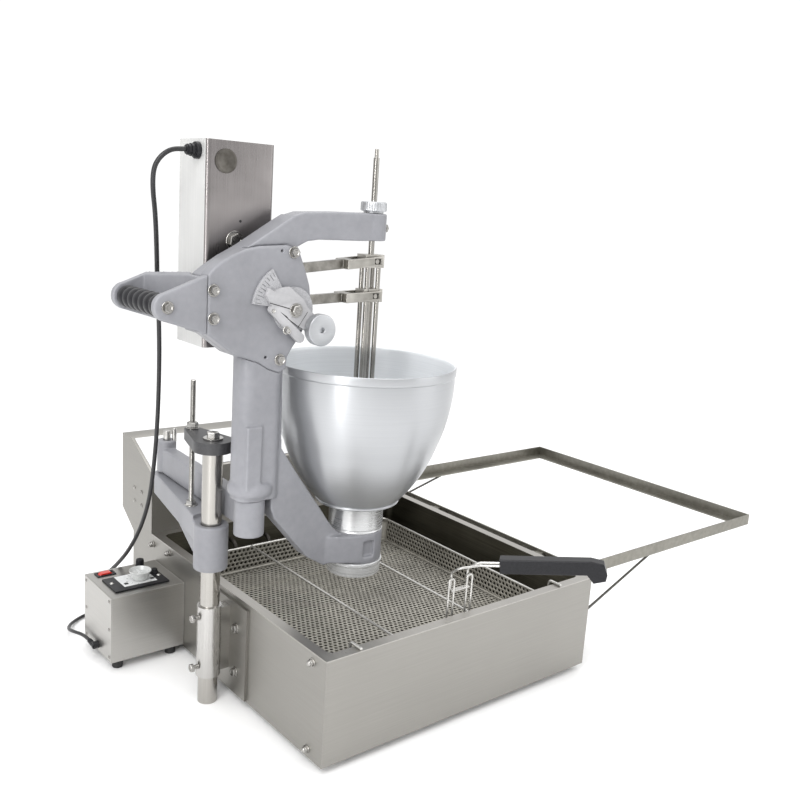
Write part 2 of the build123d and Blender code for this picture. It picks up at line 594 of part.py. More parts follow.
# Motor box with gear motor, gland and cam shaft
box = block(hx(BOX_S[0]), hx(BOX_S[1]), hy(BOX_D[0]), hy(BOX_D[1]), *BOX_Z)
box = fillet(box.edges().filter_by(Axis.Z), 8)
room = block(hx(BOX_S[0]) + BOX_T, hx(BOX_S[1]) - BOX_T, hy(BOX_D[0]) + BOX_T, hy(BOX_D[1]) - BOX_T,
             BOX_Z[0] + BOX_T, BOX_Z[1] - BOX_T)
room = fillet(room.edges().filter_by(Axis.Z), 8 - BOX_T)
parts["motor_box"] = box - room - head_y(CAM_S, CAM_Z, BOX_D[0] - 14, BOX_D[0] + 6, SHAFT16 + 4)
box_mid = ((BOX_S[0] + BOX_S[1]) / 2, (BOX_D[0] + BOX_D[1]) / 2)
GEAR_Z = (CAM_Z - 38, CAM_Z + 42)
gearbox = block(hx(BOX_S[0] + 17), hx(BOX_S[1] - 24), hy(BOX_D[0] + BOX_T), hy(BOX_D[1] - 15), *GEAR_Z)
MOTOR_AIR = 8.0
motor = upright((hx(box_mid[0] - 3.5), hy(box_mid[1] - 4)), GEAR_Z[1] - 1, BOX_Z[1] - 30, BOX_D[1] - BOX_D[0] - 2 * MOTOR_AIR)
parts["gear_motor"] = gearbox + motor - head_y(CAM_S, CAM_Z, BOX_D[0] - 4, BOX_D[0] + 18, SHAFT16 + 2 * RUN)
gland_x = hx(BOX_S[0])
gland = along_x(hy(GLAND_D), GLAND_Z, gland_x - GLAND_LEN, gland_x, 20)
parts["motor_gland"] = gland + along_x(hy(GLAND_D), GLAND_Z, gland_x - 7, gland_x, 26)
cam = head_y(CAM_S, CAM_Z, -18, BOX_D[0] + 16, SHAFT16) - head_y(CAM_S, CAM_Z, -30, 7, 60)
cam += head_y(CAM_S, CAM_Z, -18, 8, 10) + head_y(CAM_S + CAM_THROW, CAM_Z, -6, 6, 2 * CAM_R)
parts["cam_shaft"] = cam
shaft_d = CASE_HALF - CASE_FACE
parts["rocker_shafts"] = Compound([head_y(PIVOT_S, z, -shaft_d, shaft_d, 10) for z in (UPPER_PIVOT_Z, LOWER_PIVOT_Z)])


def link(pivot_z, pin_z):
    slope = (pin_z - pivot_z) / (REACH - PIVOT_S)

    def band(s0, s1, half):
        z0 = pivot_z + slope * (s0 - PIVOT_S)
        z1 = pivot_z + slope * (s1 - PIVOT_S)
        return head_outline([(s0, z0 - half), (s1, z1 - half), (s1, z1 + half), (s0, z0 + half)])
    half = LINK_H / 2
    shape = side_prism(band(PIVOT_S, 168, half), hy(-LINK_T / 2), hy(LINK_T / 2))
    shape += head_y(PIVOT_S, pivot_z, -LINK_T / 2, LINK_T / 2, 24)
    shape += side_prism(band(160, 174, half), hy(-CHEEK[1]), hy(CHEEK[1]))
    slit = [(REACH - 4.3, pin_z - 4.3), (REACH + 7.5, pin_z - 4.3), (REACH + 7.5, pin_z + 4.3), (REACH - 4.3, pin_z + 4.3)]
    for d0, d1 in ((-CHEEK[1], -CHEEK[0]), CHEEK):
        cheek = side_prism(band(160, REACH + 14, half), hy(d0), hy(d1))
        shape += cheek
    shape -= side_prism(head_outline(slit), hy(-30), hy(30))
    return shape - head_y(PIVOT_S, pivot_z, -20, 20, 10 + 2 * RUN)


parts["upper_link"] = link(UPPER_PIVOT_Z, UPPER_PIN_Z)
parts["lower_link"] = link(LOWER_PIVOT_Z, LOWER_PIN_Z)


def yoke(pin_z):
    body = block(BOWL[0] - YOKE_HALF, BOWL[0] + YOKE_HALF, hy(-12), hy(12), pin_z - YOKE_H / 2, pin_z + YOKE_H / 2)
    return body + along_y(BOWL[0], pin_z, hy(-CHEEK[1]), hy(CHEEK[1]), YOKE_PIN_D)


rods_at = [(BOWL[0] + a * RODS_AT[0], BOWL[1] + b * RODS_AT[1]) for a in (-1, 1) for b in (-1, 1)]
PISTON_Z = (NOZZLE_Z + 32, NOZZLE_Z + 46)
upper_low = UPPER_PIN_Z - YOKE_H / 2
upper_yoke = yoke(UPPER_PIN_Z)
parts["upper_yoke"] = upper_yoke
rods = Compound([upright(BOWL, UPPER_PIN_Z + YOKE_H / 2, GUIDE_TOP - 14, 10) + upright(BOWL, GUIDE_TOP - 15, GUIDE_TOP, 7)])
piston = upright(BOWL, *PISTON_Z, 2 * (NOZZLE_R - 6 - AIR)) - upright(BOWL, 200, 300, 10 + 2 * AIR)
for at in rods_at:
    piston += upright(at, PISTON_Z[0], upper_low, ROD4_D)
parts["plunger_rods"] = Compound(list(rods.solids()) + list(piston.solids()))
lower_yoke = yoke(LOWER_PIN_Z)
for at in rods_at:
    lower_yoke -= upright(at, 600, 800, ROD4_D + 2 * AIR)
parts["lower_yoke"] = lower_yoke
lower_low = LOWER_PIN_Z - YOKE_H / 2
parts["cutter_rod"] = upright(BOWL, NOZZLE_Z + 2, lower_low, 10) + upright(BOWL, NOZZLE_Z + 1, NOZZLE_Z + 6, 48)
nut = upright(BOWL, BOSS_Z[1] + AIR, BOSS_Z[1] + 3, 34) + upright(BOWL, BOSS_Z[1] + 3, BOSS_Z[1] + 19, 44)
nut += upright(BOWL, BOSS_Z[0] + 8, BOSS_Z[1] + 1, NUT_BUSH)
parts["thumb_nut"] = nut - upright(BOWL, 700, 1000, 10 + 2 * RUN)

# Hopper and nozzle
profile = Polyline((38.6, RING_Z[1]), (38.6, 355), (72, 359.2))
profile += ThreePointArc((72, 359.2), (104.7, 401.7), (132.3, 461.3))
profile += ThreePointArc((132.3, 461.3), (151, 530), (154.8, 588))
profile += Polyline((154.8, 588), (154.8, RIM_Z), (RIM_R + 2, RIM_Z), (RIM_R + 2, 588), (158.3, 587))
profile += ThreePointArc((158.3, 587), (154.5, 530), (135.5, 460))
profile += ThreePointArc((135.5, 460), (107.5, 400), (74.5, 357))
profile += Polyline((74.5, 357), (74.5, 353), (72.5, 351), (RING_R, 350), (RING_R, RING_Z[1]), (38.6, RING_Z[1]))
bowl_face = Plane.XZ * make_face(profile)
parts["hopper"] = Pos(*BOWL, 0) * revolve(bowl_face, axis=Axis.Z)
nozzle = upright(BOWL, NOZZLE_Z, RING_Z[1] + 10, 2 * NOZZLE_R) + upright(BOWL, NOZZLE_Z, RING_Z[0], 2 * NOZZLE_R + 21)
nozzle += upright(BOWL, FLANGE_Z, RING_Z[0], 2 * NOZZLE_R + 25)
parts["nozzle"] = nozzle - upright(BOWL, NOZZLE_Z - 1, RING_Z[1] + 20, 2 * (NOZZLE_R - 6))

# Basket, its wires and the lifter
basket = block(BK_X0, BK_X1, BK_Y0, BK_Y1, BK_FLOOR, BK_RIM)
basket = fillet(basket.edges().filter_by(Axis.Z), 12)
hollow = block(BK_X0 + BK_T, BK_X1 - BK_T, BK_Y0 + BK_T, BK_Y1 - BK_T, BK_FLOOR + BK_T, BK_RIM + 1)
hollow = fillet(hollow.edges().filter_by(Axis.Z), 12 - BK_T)
parts["fry_basket"] = basket - hollow
half_wire = WIRE_D / 2
rim_z = BK_RIM + half_wire + 0.1
wx0 = BK_X0 + half_wire
wx1 = BK_X1 - half_wire
wy0 = BK_Y0 + half_wire
wy1 = BK_Y1 - half_wire
rim_path = Pos(0, 0, rim_z) * Pos((wx0 + wx1) / 2, (wy0 + wy1) / 2) * RectangleRounded(wx1 - wx0, wy1 - wy0, 10).wire()
start = rim_path @ 0
rim = sweep(Plane(origin=start, z_dir=rim_path % 0) * Circle(half_wire), path=rim_path)
wires = rim
for x in CROSS_X:
    wires += along_y(x, rim_z, wy0, wy1, WIRE_D)
for x in HOOK_X:
    wires += wire([(x, wy0, rim_z), (x, wy0, TOP + 0.1 + half_wire), (x, 2, TOP + 0.1 + half_wire)], WIRE_D, 6)
for x in LEG_X:
    run = [(x - HAIRPIN / 2, wy0, rim_z), (x - HAIRPIN / 2, wy0, LEG_TOP), (x + HAIRPIN / 2, wy0, LEG_TOP),
           (x + HAIRPIN / 2, wy0, rim_z)]
    wires += wire(run, WIRE_D - 1, 5)
BAR_Z = 232.0
wires += along_x(wy0, BAR_Z, LEG_X[0], LEG_X[1], WIRE_D - 1)
parts["basket_wires"] = wires
grip_dir = (Vector(*GRIP_B) - Vector(*GRIP_A)).normalized()
grip_plane = Plane(origin=GRIP_A, x_dir=(grip_dir.X, grip_dir.Y, grip_dir.Z), z_dir=(-grip_dir.Y, grip_dir.X, 0))
grip_len = (Vector(*GRIP_B) - Vector(*GRIP_A)).length
grip_face = [(0, 13), (0, -13), (grip_len - 26, -13), (grip_len - 5, -8), (grip_len, 10), (grip_len - 3, 22),
             (grip_len - 22, 26), (grip_len - 32, 12)]
lifter_grip = extrude(grip_plane * make_face(Polyline(*grip_face, close=True)), amount=GRIP_W / 2, both=True)
parts["lifter_grip"] = fillet(lifter_grip.edges().filter_by(lambda e: abs((e % 0.5).dot(grip_dir)) > 0.9), 3)
side = Vector(-grip_dir.Y, grip_dir.X, 0)
lifter = None
for x, sign in ((LEG_X[0] + 2, -1), (LEG_X[1] - 2, 1)):
    end = Vector(*GRIP_A) + side * (7.0 * sign)
    near_end = end - grip_dir * 34
    run = [(x, wy0 + 4.6, BAR_Z), (x, wy0 + 4.6, BAR_Z + 32), (x, wy0 - 14, BAR_Z + 47),
           (near_end.X, near_end.Y, near_end.Z), (end.X, end.Y, end.Z)]
    one = wire(run, WIRE_D - 1, 9)
    lifter = one if lifter is None else lifter + one
lifter += along_x(wy0 + 4.6, BAR_Z, LEG_X[0] + 1, LEG_X[1] - 1, WIRE_D - 1)
parts["lifter_wire"] = lifter

# Drain frame, its stays and hinges
outer = block(FRAME_X0, FRAME_X1, FRAME_Y0, FRAME_Y1, TOP - FRAME_H, TOP)
core = block(FRAME_X0 + FRAME_T, FRAME_X1 - FRAME_T, FRAME_Y0 + FRAME_T, FRAME_Y1 - FRAME_T, TOP - FRAME_H + FRAME_T, TOP + 1)
gap = block(FRAME_X0 + FRAME_W, FRAME_X1 - FRAME_W, FRAME_Y0 + FRAME_W, FRAME_Y1 - FRAME_W, 0, TOP + 1)
frame_body = outer - core - gap
for y in HINGE_Y:
    frame_body += block(PIN_X, FRAME_X0 + 1, y - 8, y + 8, PIN_Z - 6, PIN_Z + 6)
    frame_body += along_y(PIN_X, PIN_Z, y - 8, y + 8, 12)
    frame_body -= along_y(PIN_X, PIN_Z, y - 20, y + 20, PIN_D + 2 * RUN)
parts["drain_frame"] = frame_body
hinges = []
for y in HINGE_Y:
    leaf = block(TANK_W, TANK_W + 3, y - 22, y + 22, PIN_Z - 30, PIN_Z + 6)
    for y0 in (y - 14, y + 8 + AIR):
        leaf += block(TANK_W, PIN_X, y0, y0 + 6 - AIR, PIN_Z - 6, PIN_Z + 6) + along_y(PIN_X, PIN_Z, y0, y0 + 6 - AIR, 12)
    hinges.append(leaf + along_y(PIN_X, PIN_Z, y - 16, y + 16, PIN_D))
parts["frame_hinges"] = Compound(hinges)
stays = []
for y, y_wall in ((FRAME_Y0 + 9, 14.0), (FRAME_Y1 - 9, CAB_D - 14.0)):
    low = (TANK_W + 0.1 + STAY_D / 2, y_wall)
    high_z = TOP - FRAME_H - STAY_D / 2
    run = [(low[0], y_wall, STAY_LOW_Z - 14), (low[0], y_wall, STAY_LOW_Z), (STAY_FAR_X, y, high_z),
           (STAY_FAR_X + 40, y, high_z)]
    stays.append(wire(run, STAY_D, 6))
parts["frame_stays"] = Compound(stays)

# Speed controller
case = block(CX0, CX1, CY0, CY1, CZ0, CZ1) - block(CX0 - 1, CX1 + 1, CY0 + CT, CY1 - CT, CZ0 + CT, CZ1 - CT)
case -= upright(SPEED_AT, CZ1 - 5, CZ1 + 5, SHAFT_D + 2 * HOLE)
ROCKER_LEN = 12.0
ROCKER_HALF = 14.0
rocker_gap = block(ROCKER_AT[0] - ROCKER_HALF - AIR, ROCKER_AT[0] + ROCKER_HALF + AIR,
                   ROCKER_AT[1] - ROCKER_LEN / 2 - AIR, ROCKER_AT[1] + ROCKER_LEN / 2 + AIR, CZ1 - 5, CZ1 + 4)
case -= rocker_gap
parts["controller_case"] = case
parts["controller_sides"] = Compound([block(CX0 - CT, CX0, CY0, CY1, CZ0, CZ1), block(CX1, CX1 + CT, CY0, CY1, CZ0, CZ1)])
small_feet = [(x, y) for x in (CX0 + 18, CX1 - 18) for y in (CY0 + 18, CY1 - 18)]
parts["controller_feet"] = Compound([upright(at, 0, CZ0, 20) for at in small_feet])
plate = block(-127, -22, 486, 551, CZ1, CZ1 + PLATE3) - upright(SPEED_AT, CZ1 - 5, CZ1 + 9, SHAFT_D + 2 * HOLE)
rocker_z = CZ1 - 8
bezel = block(ROCKER_AT[0] - 18, ROCKER_AT[0] + 18, ROCKER_AT[1] - 10, ROCKER_AT[1] + 10, CZ1, CZ1 + 2) - rocker_gap
seat = block(ROCKER_AT[0] - 16, ROCKER_AT[0] + 16, ROCKER_AT[1] - 8, ROCKER_AT[1] + 8, CZ1 - 28, CZ1 - CT)
seat -= along_y(ROCKER_AT[0], rocker_z, ROCKER_AT[1] - ROCKER_LEN / 2 - AIR, ROCKER_AT[1] + ROCKER_LEN / 2 + AIR,
                2 * (ROCKER_R + AIR))
seat += along_y(ROCKER_AT[0], rocker_z, ROCKER_AT[1] - 7, ROCKER_AT[1] + 7, 4)
parts["controller_plate"] = Compound([plate, bezel] + list(seat.solids()))
rocker = along_y(ROCKER_AT[0], rocker_z, ROCKER_AT[1] - ROCKER_LEN / 2, ROCKER_AT[1] + ROCKER_LEN / 2, 2 * ROCKER_R)
rocker &= block(ROCKER_AT[0] - 20, ROCKER_AT[0] + 20, 500, 700, rocker_z - 6, rocker_z + 12.5)
rocker &= block(ROCKER_AT[0] - 13.2, ROCKER_AT[0] + 13.2, 500, 700, 0, 300)
rocker -= along_y(ROCKER_AT[0], rocker_z, 500, 700, 4 + 2 * RUN)
parts["power_rocker"] = rocker
pot = upright(SPEED_AT, CZ1 - CT - 14, CZ1 - CT, 26) + upright(SPEED_AT, CZ1 - CT - 1, CZ1 + 15, SHAFT_D)
board = block(CX0 + 15, CX1 - 15, CY0 + 15, CY1 - 20, CZ0 + 10, CZ0 + 12)
board += block(CX0 + 30, CX0 + 80, CY0 + 30, CY0 + 80, CZ0 + 11, CZ0 + 50)
for x in (CX0 + 22, CX1 - 22):
    for y in (CY0 + 22, CY1 - 27):
        board += upright((x, y), CZ0 + CT, CZ0 + 11, 8)
parts["controller_board"] = Compound([pot, board])
speed = upright(SPEED_AT, CZ1 + PLATE3 + AIR, CZ1 + PLATE3 + 5, 42) + upright(SPEED_AT, CZ1 + PLATE3 + 4, CZ1 + 21, 30)
parts["speed_knob"] = speed - upright(SPEED_AT, CZ1, CZ1 + 15 + AIR, SHAFT_D + 2 * RUN)
back_gland = along_y(CORD_EXIT[0], CORD_EXIT[2], CY1, CORD_EXIT[1], 15) + along_y(CORD_EXIT[0], CORD_EXIT[2], CY1, CY1 + 7, 20)
side_x = CX0 - CT
elbow = along_x(MAINS_EXIT[1] - 22, MAINS_EXIT[2], MAINS_EXIT[0] - 3, side_x, 14)
elbow += along_y(MAINS_EXIT[0], MAINS_EXIT[2], MAINS_EXIT[1] - 22, MAINS_EXIT[1], 10)
parts["controller_glands"] = Compound([back_gland, elbow])
screws = []
for x0, x1 in ((side_x - 1.6, side_x),):
    for y in (CY0 + 9, CY1 - 9):
        for z in (CZ0 + 9, (CZ0 + CZ1) / 2, CZ1 - 9):
            screws.append(along_x(y, z, x0, x1, 6.5))
for z in (TOP + 45.0, TOP + 73.0):
    for y in (TANK_D + a for a in HEAD_SCREWS):
        screws += [along_x(y, z, -1.8, 0, 8), along_x(y, z, TANK_W, TANK_W + 1.8, 8)]
parts["wall_fasteners"] = Compound(wall_parts + screws)

# Cords
gland_end = (gland_x - GLAND_LEN, hy(GLAND_D), GLAND_Z)
first = [(0, 0, 0), (-16.5, 0, 0), (-31.7, 0, -6.3), (-43.4, 1.7, -18), (-49.7, 4.2, -33.2), (-48, 10, -61)]
motor_path = [(gland_end[0] + a, gland_end[1] + b, gland_end[2] + c) for a, b, c in first]
motor_path += [(-127, 333, 832), (-116, 351, 778), (-107, 367, 716), (-93, 388, 640), (-81, 413, 555), (-71, 440, 465),
               (-64, 468, 380), (-59, 498, 306), (-60, 534, 240), (-66, 576, 182), (-72, 624, 136),
               (-74.5, 672, 99), (-75, 673.4, 63.3), (-75, 650, 40), CORD_EXIT]
parts["motor_cord"] = cord("motor cord", motor_path, CORD_D)

layer = [LEAD_D / 2 + 0.1, LEAD_D / 2 + 0.1 + LEAD_D + 1.2]
coil_outer = COIL_MID_R + COIL_PITCH * COIL_TURNS / 2
coil_inner = COIL_MID_R - COIL_PITCH * COIL_TURNS / 2
total_turns = 2 * COIL_TURNS + 0.5


def coil_at(turn):
    """Point of the coil after a number of turns, counter-clockwise from its front."""
    if turn <= COIL_TURNS:
        radius = coil_outer - COIL_PITCH * turn
        height = layer[0]
    elif turn <= COIL_TURNS + 0.5:
        radius = coil_inner
        share = (turn - COIL_TURNS) / 0.5
        height = layer[0] + (layer[1] - layer[0]) * (share * share * (3 - 2 * share))
    else:
        radius = coil_inner + COIL_PITCH * (turn - COIL_TURNS - 0.5)
        height = layer[1]
    angle = 2 * math.pi * turn - math.pi / 2
    return Vector(COIL_AT[0] + radius * math.cos(angle), COIL_AT[1] + radius * math.sin(angle), height)


def coil_heading(turn):
    ahead = min(turn + 1e-4, total_turns)
    back = max(turn - 1e-4, 0)
    return (coil_at(ahead) - coil_at(back)).normalized()


quarters = int(round(total_turns * 4))
coil_in = coil_heading(0)
coil_out = coil_heading(total_turns)
coil_start = coil_at(0) - coil_in * LEAD_D
coil_end = coil_at(total_turns) + coil_out * LEAD_D
edges = [Line(coil_start, coil_at(0))]
for q in range(quarters):
    edges += biarc(coil_at(q / 4), coil_heading(q / 4), coil_at((q + 1) / 4), coil_heading((q + 1) / 4))
edges.append(Line(coil_at(total_turns), coil_end))
coil_path = Wire([e.edge() if hasattr(e, "edge") else e for e in edges])
coil = sweep(Plane(origin=coil_path @ 0, z_dir=coil_path % 0) * Circle(LEAD_D / 2), path=coil_path)
samples = [coil_at(total_turns * i / 900) for i in range(901)]
step_len = coil_path.length / 900
least = 99.0
for i in range(0, 901, 3):
    for j in range(i + int(40 / step_len), 901):
        least = min(least, (samples[i] - samples[j]).length)
share = coil.volume / (math.pi * LEAD_D ** 2 / 4 * coil_path.length)
print("coil length", round(coil_path.length), "least gap", round(least - LEAD_D, 2), "volume share", round(share, 4))
parts["lead_coil"] = coil

lead_path = [MAINS_EXIT, (-151, 578, 30), (-160, 612, 25), (-158, 648, 15), (-138, 684, 7), (-102, 711, 3.9),
             (-54, 724, layer[0]), (-4, 728, layer[0])]
join = coil_start - coil_in * 46
lead_path += [(join.X, join.Y, join.Z), (coil_start.X, coil_start.Y, coil_start.Z)]
lead = cord("mains lead", lead_path, LEAD_D)
tail_end = coil_end + coil_out * TAIL
tail_path = Line(coil_end, tail_end)
tail = sweep(Plane(origin=coil_end, z_dir=coil_out) * Circle(LEAD_D / 2), path=tail_path)
parts["mains_lead"] = Compound([lead, tail])
PLUG_LEN = 44.0
plug_plane = Plane(origin=tail_end, x_dir=(coil_out.X, coil_out.Y, 0), z_dir=(0, 0, 1))
plug = plug_plane * Pos(PLUG_LEN / 2, 0, 0) * Box(PLUG_LEN, 26, 21)
plug = fillet(plug.edges().filter_by(lambda e: abs((e % 0.5).dot(coil_out)) > 0.9), 5)
for offset_y in (-9.5, 9.5):
    plug += plug_plane * Pos(PLUG_LEN + 9, offset_y, 0) * Rot(0, 90, 0) * Cylinder(2.4, 19)
parts["mains_plug"] = plug

# Move to the shared frame and write one file for each piece
CORD_NODES = ("motor_cord", "mains_lead", "lead_coil", "mains_plug")
bounds = Compound([p for n, p in parts.items() if n not in CORD_NODES]).bounding_box()
SHIFT = (-(bounds.min.X + bounds.max.X) / 2, -(bounds.min.Y + bounds.max.Y) / 2, -bounds.min.Z)
os.makedirs("parts", exist_ok=True)
for name, shape in parts.items():
    export_step(Pos(*SHIFT) * shape, "parts/" + name + ".step")
print(len(parts), "nodes; size", [round(v, 1) for v in bounds.size], "shift", [round(v, 2) for v in SHIFT])
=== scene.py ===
import bmesh
import bpy
import json
import math
from mathutils import Matrix, Vector

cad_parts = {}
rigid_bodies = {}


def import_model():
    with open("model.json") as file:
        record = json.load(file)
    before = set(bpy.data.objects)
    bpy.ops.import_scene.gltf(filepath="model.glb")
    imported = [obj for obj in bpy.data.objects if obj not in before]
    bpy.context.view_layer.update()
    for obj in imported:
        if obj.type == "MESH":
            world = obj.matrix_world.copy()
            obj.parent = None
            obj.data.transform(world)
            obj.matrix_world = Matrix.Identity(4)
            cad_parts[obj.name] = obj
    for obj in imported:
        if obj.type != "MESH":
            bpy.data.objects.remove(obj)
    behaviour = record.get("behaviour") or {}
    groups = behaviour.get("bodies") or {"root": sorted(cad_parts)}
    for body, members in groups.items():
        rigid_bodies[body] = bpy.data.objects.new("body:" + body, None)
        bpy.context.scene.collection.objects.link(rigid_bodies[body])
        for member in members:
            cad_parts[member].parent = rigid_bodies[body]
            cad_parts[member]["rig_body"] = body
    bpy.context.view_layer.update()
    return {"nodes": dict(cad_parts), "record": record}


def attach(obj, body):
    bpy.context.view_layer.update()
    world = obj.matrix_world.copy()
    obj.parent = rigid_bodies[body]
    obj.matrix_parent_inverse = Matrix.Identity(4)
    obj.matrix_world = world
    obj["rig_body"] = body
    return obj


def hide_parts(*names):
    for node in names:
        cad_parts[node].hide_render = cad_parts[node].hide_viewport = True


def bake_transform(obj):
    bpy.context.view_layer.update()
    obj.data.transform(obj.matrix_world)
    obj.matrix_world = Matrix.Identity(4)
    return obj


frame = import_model()
scene = bpy.context.scene
nodes = frame["nodes"]
slot_of = {row["node"]: row["material_slot"] for row in frame["record"]["subparts"]}

# Points are in mm from the tank's left front corner on the floor, and W() moves them to the shared frame
MM = 0.001
TINY = 1e-6
OFF = Vector((-542.5, -299.18, 0.0))
SPIN = (-9.0, 224.0)
BOWL = (211.0, 224.0)
POST = (-40.0, 294.0)
ROD = (-38.0, 372.0)
GRIP = (-160.0, 705.0)
TANK_W = 620.0
MOTOR_CORD_R = 3.75
LEAD_R = 3.25
UP = (0, 0, 1)
LEFT = (-1, 0, 0)
RIGHT = (1, 0, 0)
FRONT = (0, -1, 0)
BACK = (0, 1, 0)


def W(x, y, z):
    return (Vector((x, y, z)) + OFF) * MM


def H(s, d, z):
    """Point of the depositor head: s along X and d along Y from the swivel axis, in mm."""
    return W(SPIN[0] + s, SPIN[1] + d, z)


# Camera
VIEW_RIGHT = Vector((0.77349296, -0.63039441, 0.06566218))
VIEW_DOWN = Vector((-0.08324432, -0.20374692, -0.97547813))
VIEW_AHEAD = Vector((0.62831443, 0.74905946, -0.21007356))
VIEW_FROM = (-741.3, -1013.2, 871.8)
LENS_MM = 41.06
camera_data = bpy.data.cameras.new("camera")
camera_data.sensor_width = 36.0
camera_data.lens = LENS_MM
camera_data.clip_start = 0.05
camera_data.clip_end = 60.0
camera = bpy.data.objects.new("camera", camera_data)
scene.collection.objects.link(camera)
turn = Matrix((VIEW_RIGHT, -VIEW_DOWN, -VIEW_AHEAD)).transposed().to_4x4()
camera.matrix_world = Matrix.Translation(W(*VIEW_FROM)) @ turn
scene.camera = camera
scene.view_settings.view_transform = "Standard"
scene.view_settings.look = "None"


# Materials
def node(tree, kind, **values):
    made = tree.nodes.new(kind)
    for key, value in values.items():
        setattr(made, key, value)
    return made


def noise(tree, stretch, scale, detail=4.0, rough=0.55):
    """Noise in object space, stretched by a scale on each axis."""
    coords = node(tree, "ShaderNodeTexCoord")
    mapping = node(tree, "ShaderNodeMapping")
    mapping.inputs["Scale"].default_value = stretch
    made = node(tree, "ShaderNodeTexNoise")
    made.inputs["Scale"].default_value = scale
    made.inputs["Detail"].default_value = detail
    made.inputs["Roughness"].default_value = rough
    tree.links.new(coords.outputs["Object"], mapping.inputs["Vector"])
    tree.links.new(mapping.outputs["Vector"], made.inputs["Vector"])
    return made.outputs["Fac"]


def ramp(tree, source, low, high, start=0.3, stop=0.7):
    """Colour from low to high as the source goes from start to stop."""
    made = node(tree, "ShaderNodeValToRGB")
    made.color_ramp.elements[0].position = start
    made.color_ramp.elements[0].color = (*low, 1)
    made.color_ramp.elements[1].position = stop
    made.color_ramp.elements[1].color = (*high, 1)
    tree.links.new(source, made.inputs["Fac"])
    return made.outputs["Color"]


def spread(tree, source, low, high, start=0.3, stop=0.7):
    """Number from low to high as the source goes from start to stop."""
    made = node(tree, "ShaderNodeMapRange")
    made.inputs["From Min"].default_value = start
    made.inputs["From Max"].default_value = stop
    made.inputs["To Min"].default_value = low
    made.inputs["To Max"].default_value = high
    tree.links.new(source, made.inputs["Value"])
    return made.outputs["Result"]


def mixed(tree, factor, one, two, mode="MULTIPLY"):
    made = node(tree, "ShaderNodeMix", data_type="RGBA", blend_type=mode)
    if isinstance(factor, float):
        made.inputs["Factor"].default_value = factor
    else:
        tree.links.new(factor, made.inputs["Factor"])
    tree.links.new(one, made.inputs["A"])
    tree.links.new(two, made.inputs["B"])
    return made.outputs["Result"]


# Worn edges, which also stand as painted edge highlight: the pointiness where the paler edge begins and is
# full, and how much paler the colour gets
EDGE_FROM, EDGE_TO = 0.51, 0.58
PALE_TIMES, PALE_PLUS = 1.5, 0.05
QUARTER_TURN = 0.25


def surface(name, low, high, rough, metallic=0.0, stretch=(1, 1, 1), grain=40.0, blotch=5.0, uneven=0.12,
            bump=0.0, bump_scale=900.0, bump_mm=0.1, worn=0.0, coat=0.0, specular=0.5, lathe=0.0):
    """Colour from low to high over fine grain, uneven over large blotches. Roughness and bump vary too.
    The wear amount makes edges paler, partly as wear and partly as painted highlight on the edges. lathe
    stretches the gloss across the marks of turning round an upright axis."""
    made = bpy.data.materials.new(name)
    made.use_nodes = True
    tree = made.node_tree
    shader = tree.nodes["Principled BSDF"]
    shader.inputs["Metallic"].default_value = metallic
    shader.inputs["Coat Weight"].default_value = coat
    shader.inputs["Specular IOR Level"].default_value = specular
    fine = noise(tree, stretch, grain)
    wide = noise(tree, (1, 1, 1), blotch, 3.0)
    colour = ramp(tree, fine, low, high)
    shade = 1.0 - uneven
    colour = mixed(tree, 1.0, colour, ramp(tree, wide, (shade, shade, shade), (1, 1, 1)))
    # Paler convex edges: worn paint, and painted highlight where light catches the edges
    if worn:
        geometry = node(tree, "ShaderNodeNewGeometry")
        edge = spread(tree, geometry.outputs["Pointiness"], 0.0, worn, EDGE_FROM, EDGE_TO)
        pale = tuple(min(1.0, c * PALE_TIMES + PALE_PLUS) for c in high)
        colour = mixed(tree, edge, colour, ramp(tree, fine, pale, pale), "MIX")
    tree.links.new(colour, shader.inputs["Base Color"])
    both = node(tree, "ShaderNodeMath", operation="ADD")
    tree.links.new(spread(tree, fine, rough[0] / 2, rough[1] / 2), both.inputs[0])
    tree.links.new(spread(tree, wide, rough[0] / 2, rough[1] / 2), both.inputs[1])
    tree.links.new(both.outputs["Value"], shader.inputs["Roughness"])
    if lathe:
        shader.inputs["Anisotropic"].default_value = lathe
        shader.inputs["Anisotropic Rotation"].default_value = QUARTER_TURN
        around = node(tree, "ShaderNodeTangent", direction_type="RADIAL", axis="Z")
        tree.links.new(around.outputs["Tangent"], shader.inputs["Tangent"])
    if bump:
        pits = noise(tree, stretch, bump_scale, 3.0, 0.6)
        bumps = node(tree, "ShaderNodeBump")
        bumps.inputs["Strength"].default_value = bump
        bumps.inputs["Distance"].default_value = bump_mm * MM
        tree.links.new(pits, bumps.inputs["Height"])
        tree.links.new(bumps.outputs["Normal"], shader.inputs["Normal"])
    return made


def finish(family, low, high, rough, **more):
    """Values of one surface: its family's, then its own."""
    return {**family, "low": low, "high": high, "rough": rough, **more}


# Families of finishes: brush marks run level or upright, and fittings have fine even grain
LEVEL = (2, 2, 300)
UPRIGHT = (300, 300, 2)
CROSSWISE = (300, 2, 2)
BRUSHED = dict(metallic=1.0, stretch=LEVEL, grain=3.0, bump_scale=4.0, bump_mm=0.03)
DRAWN = dict(metallic=1.0, stretch=UPRIGHT, grain=3.0, bump_scale=4.0, bump_mm=0.02)
TURNED = dict(stretch=LEVEL, grain=3.0, bump_scale=4.0, bump_mm=0.02)
FITTING = dict(metallic=1.0, grain=90.0, blotch=14.0, uneven=0.15, bump_scale=700.0, bump_mm=0.05)
DULL = dict(metallic=1.0, grain=60.0, bump_scale=500.0, bump_mm=0.05)
PAINTED = dict(grain=200.0, blotch=20.0, uneven=0.1)
GLOSSY = dict(grain=200.0, blotch=25.0, bump_scale=700.0, bump_mm=0.05)
DARK = dict(grain=300.0, uneven=0.2, bump_scale=900.0)
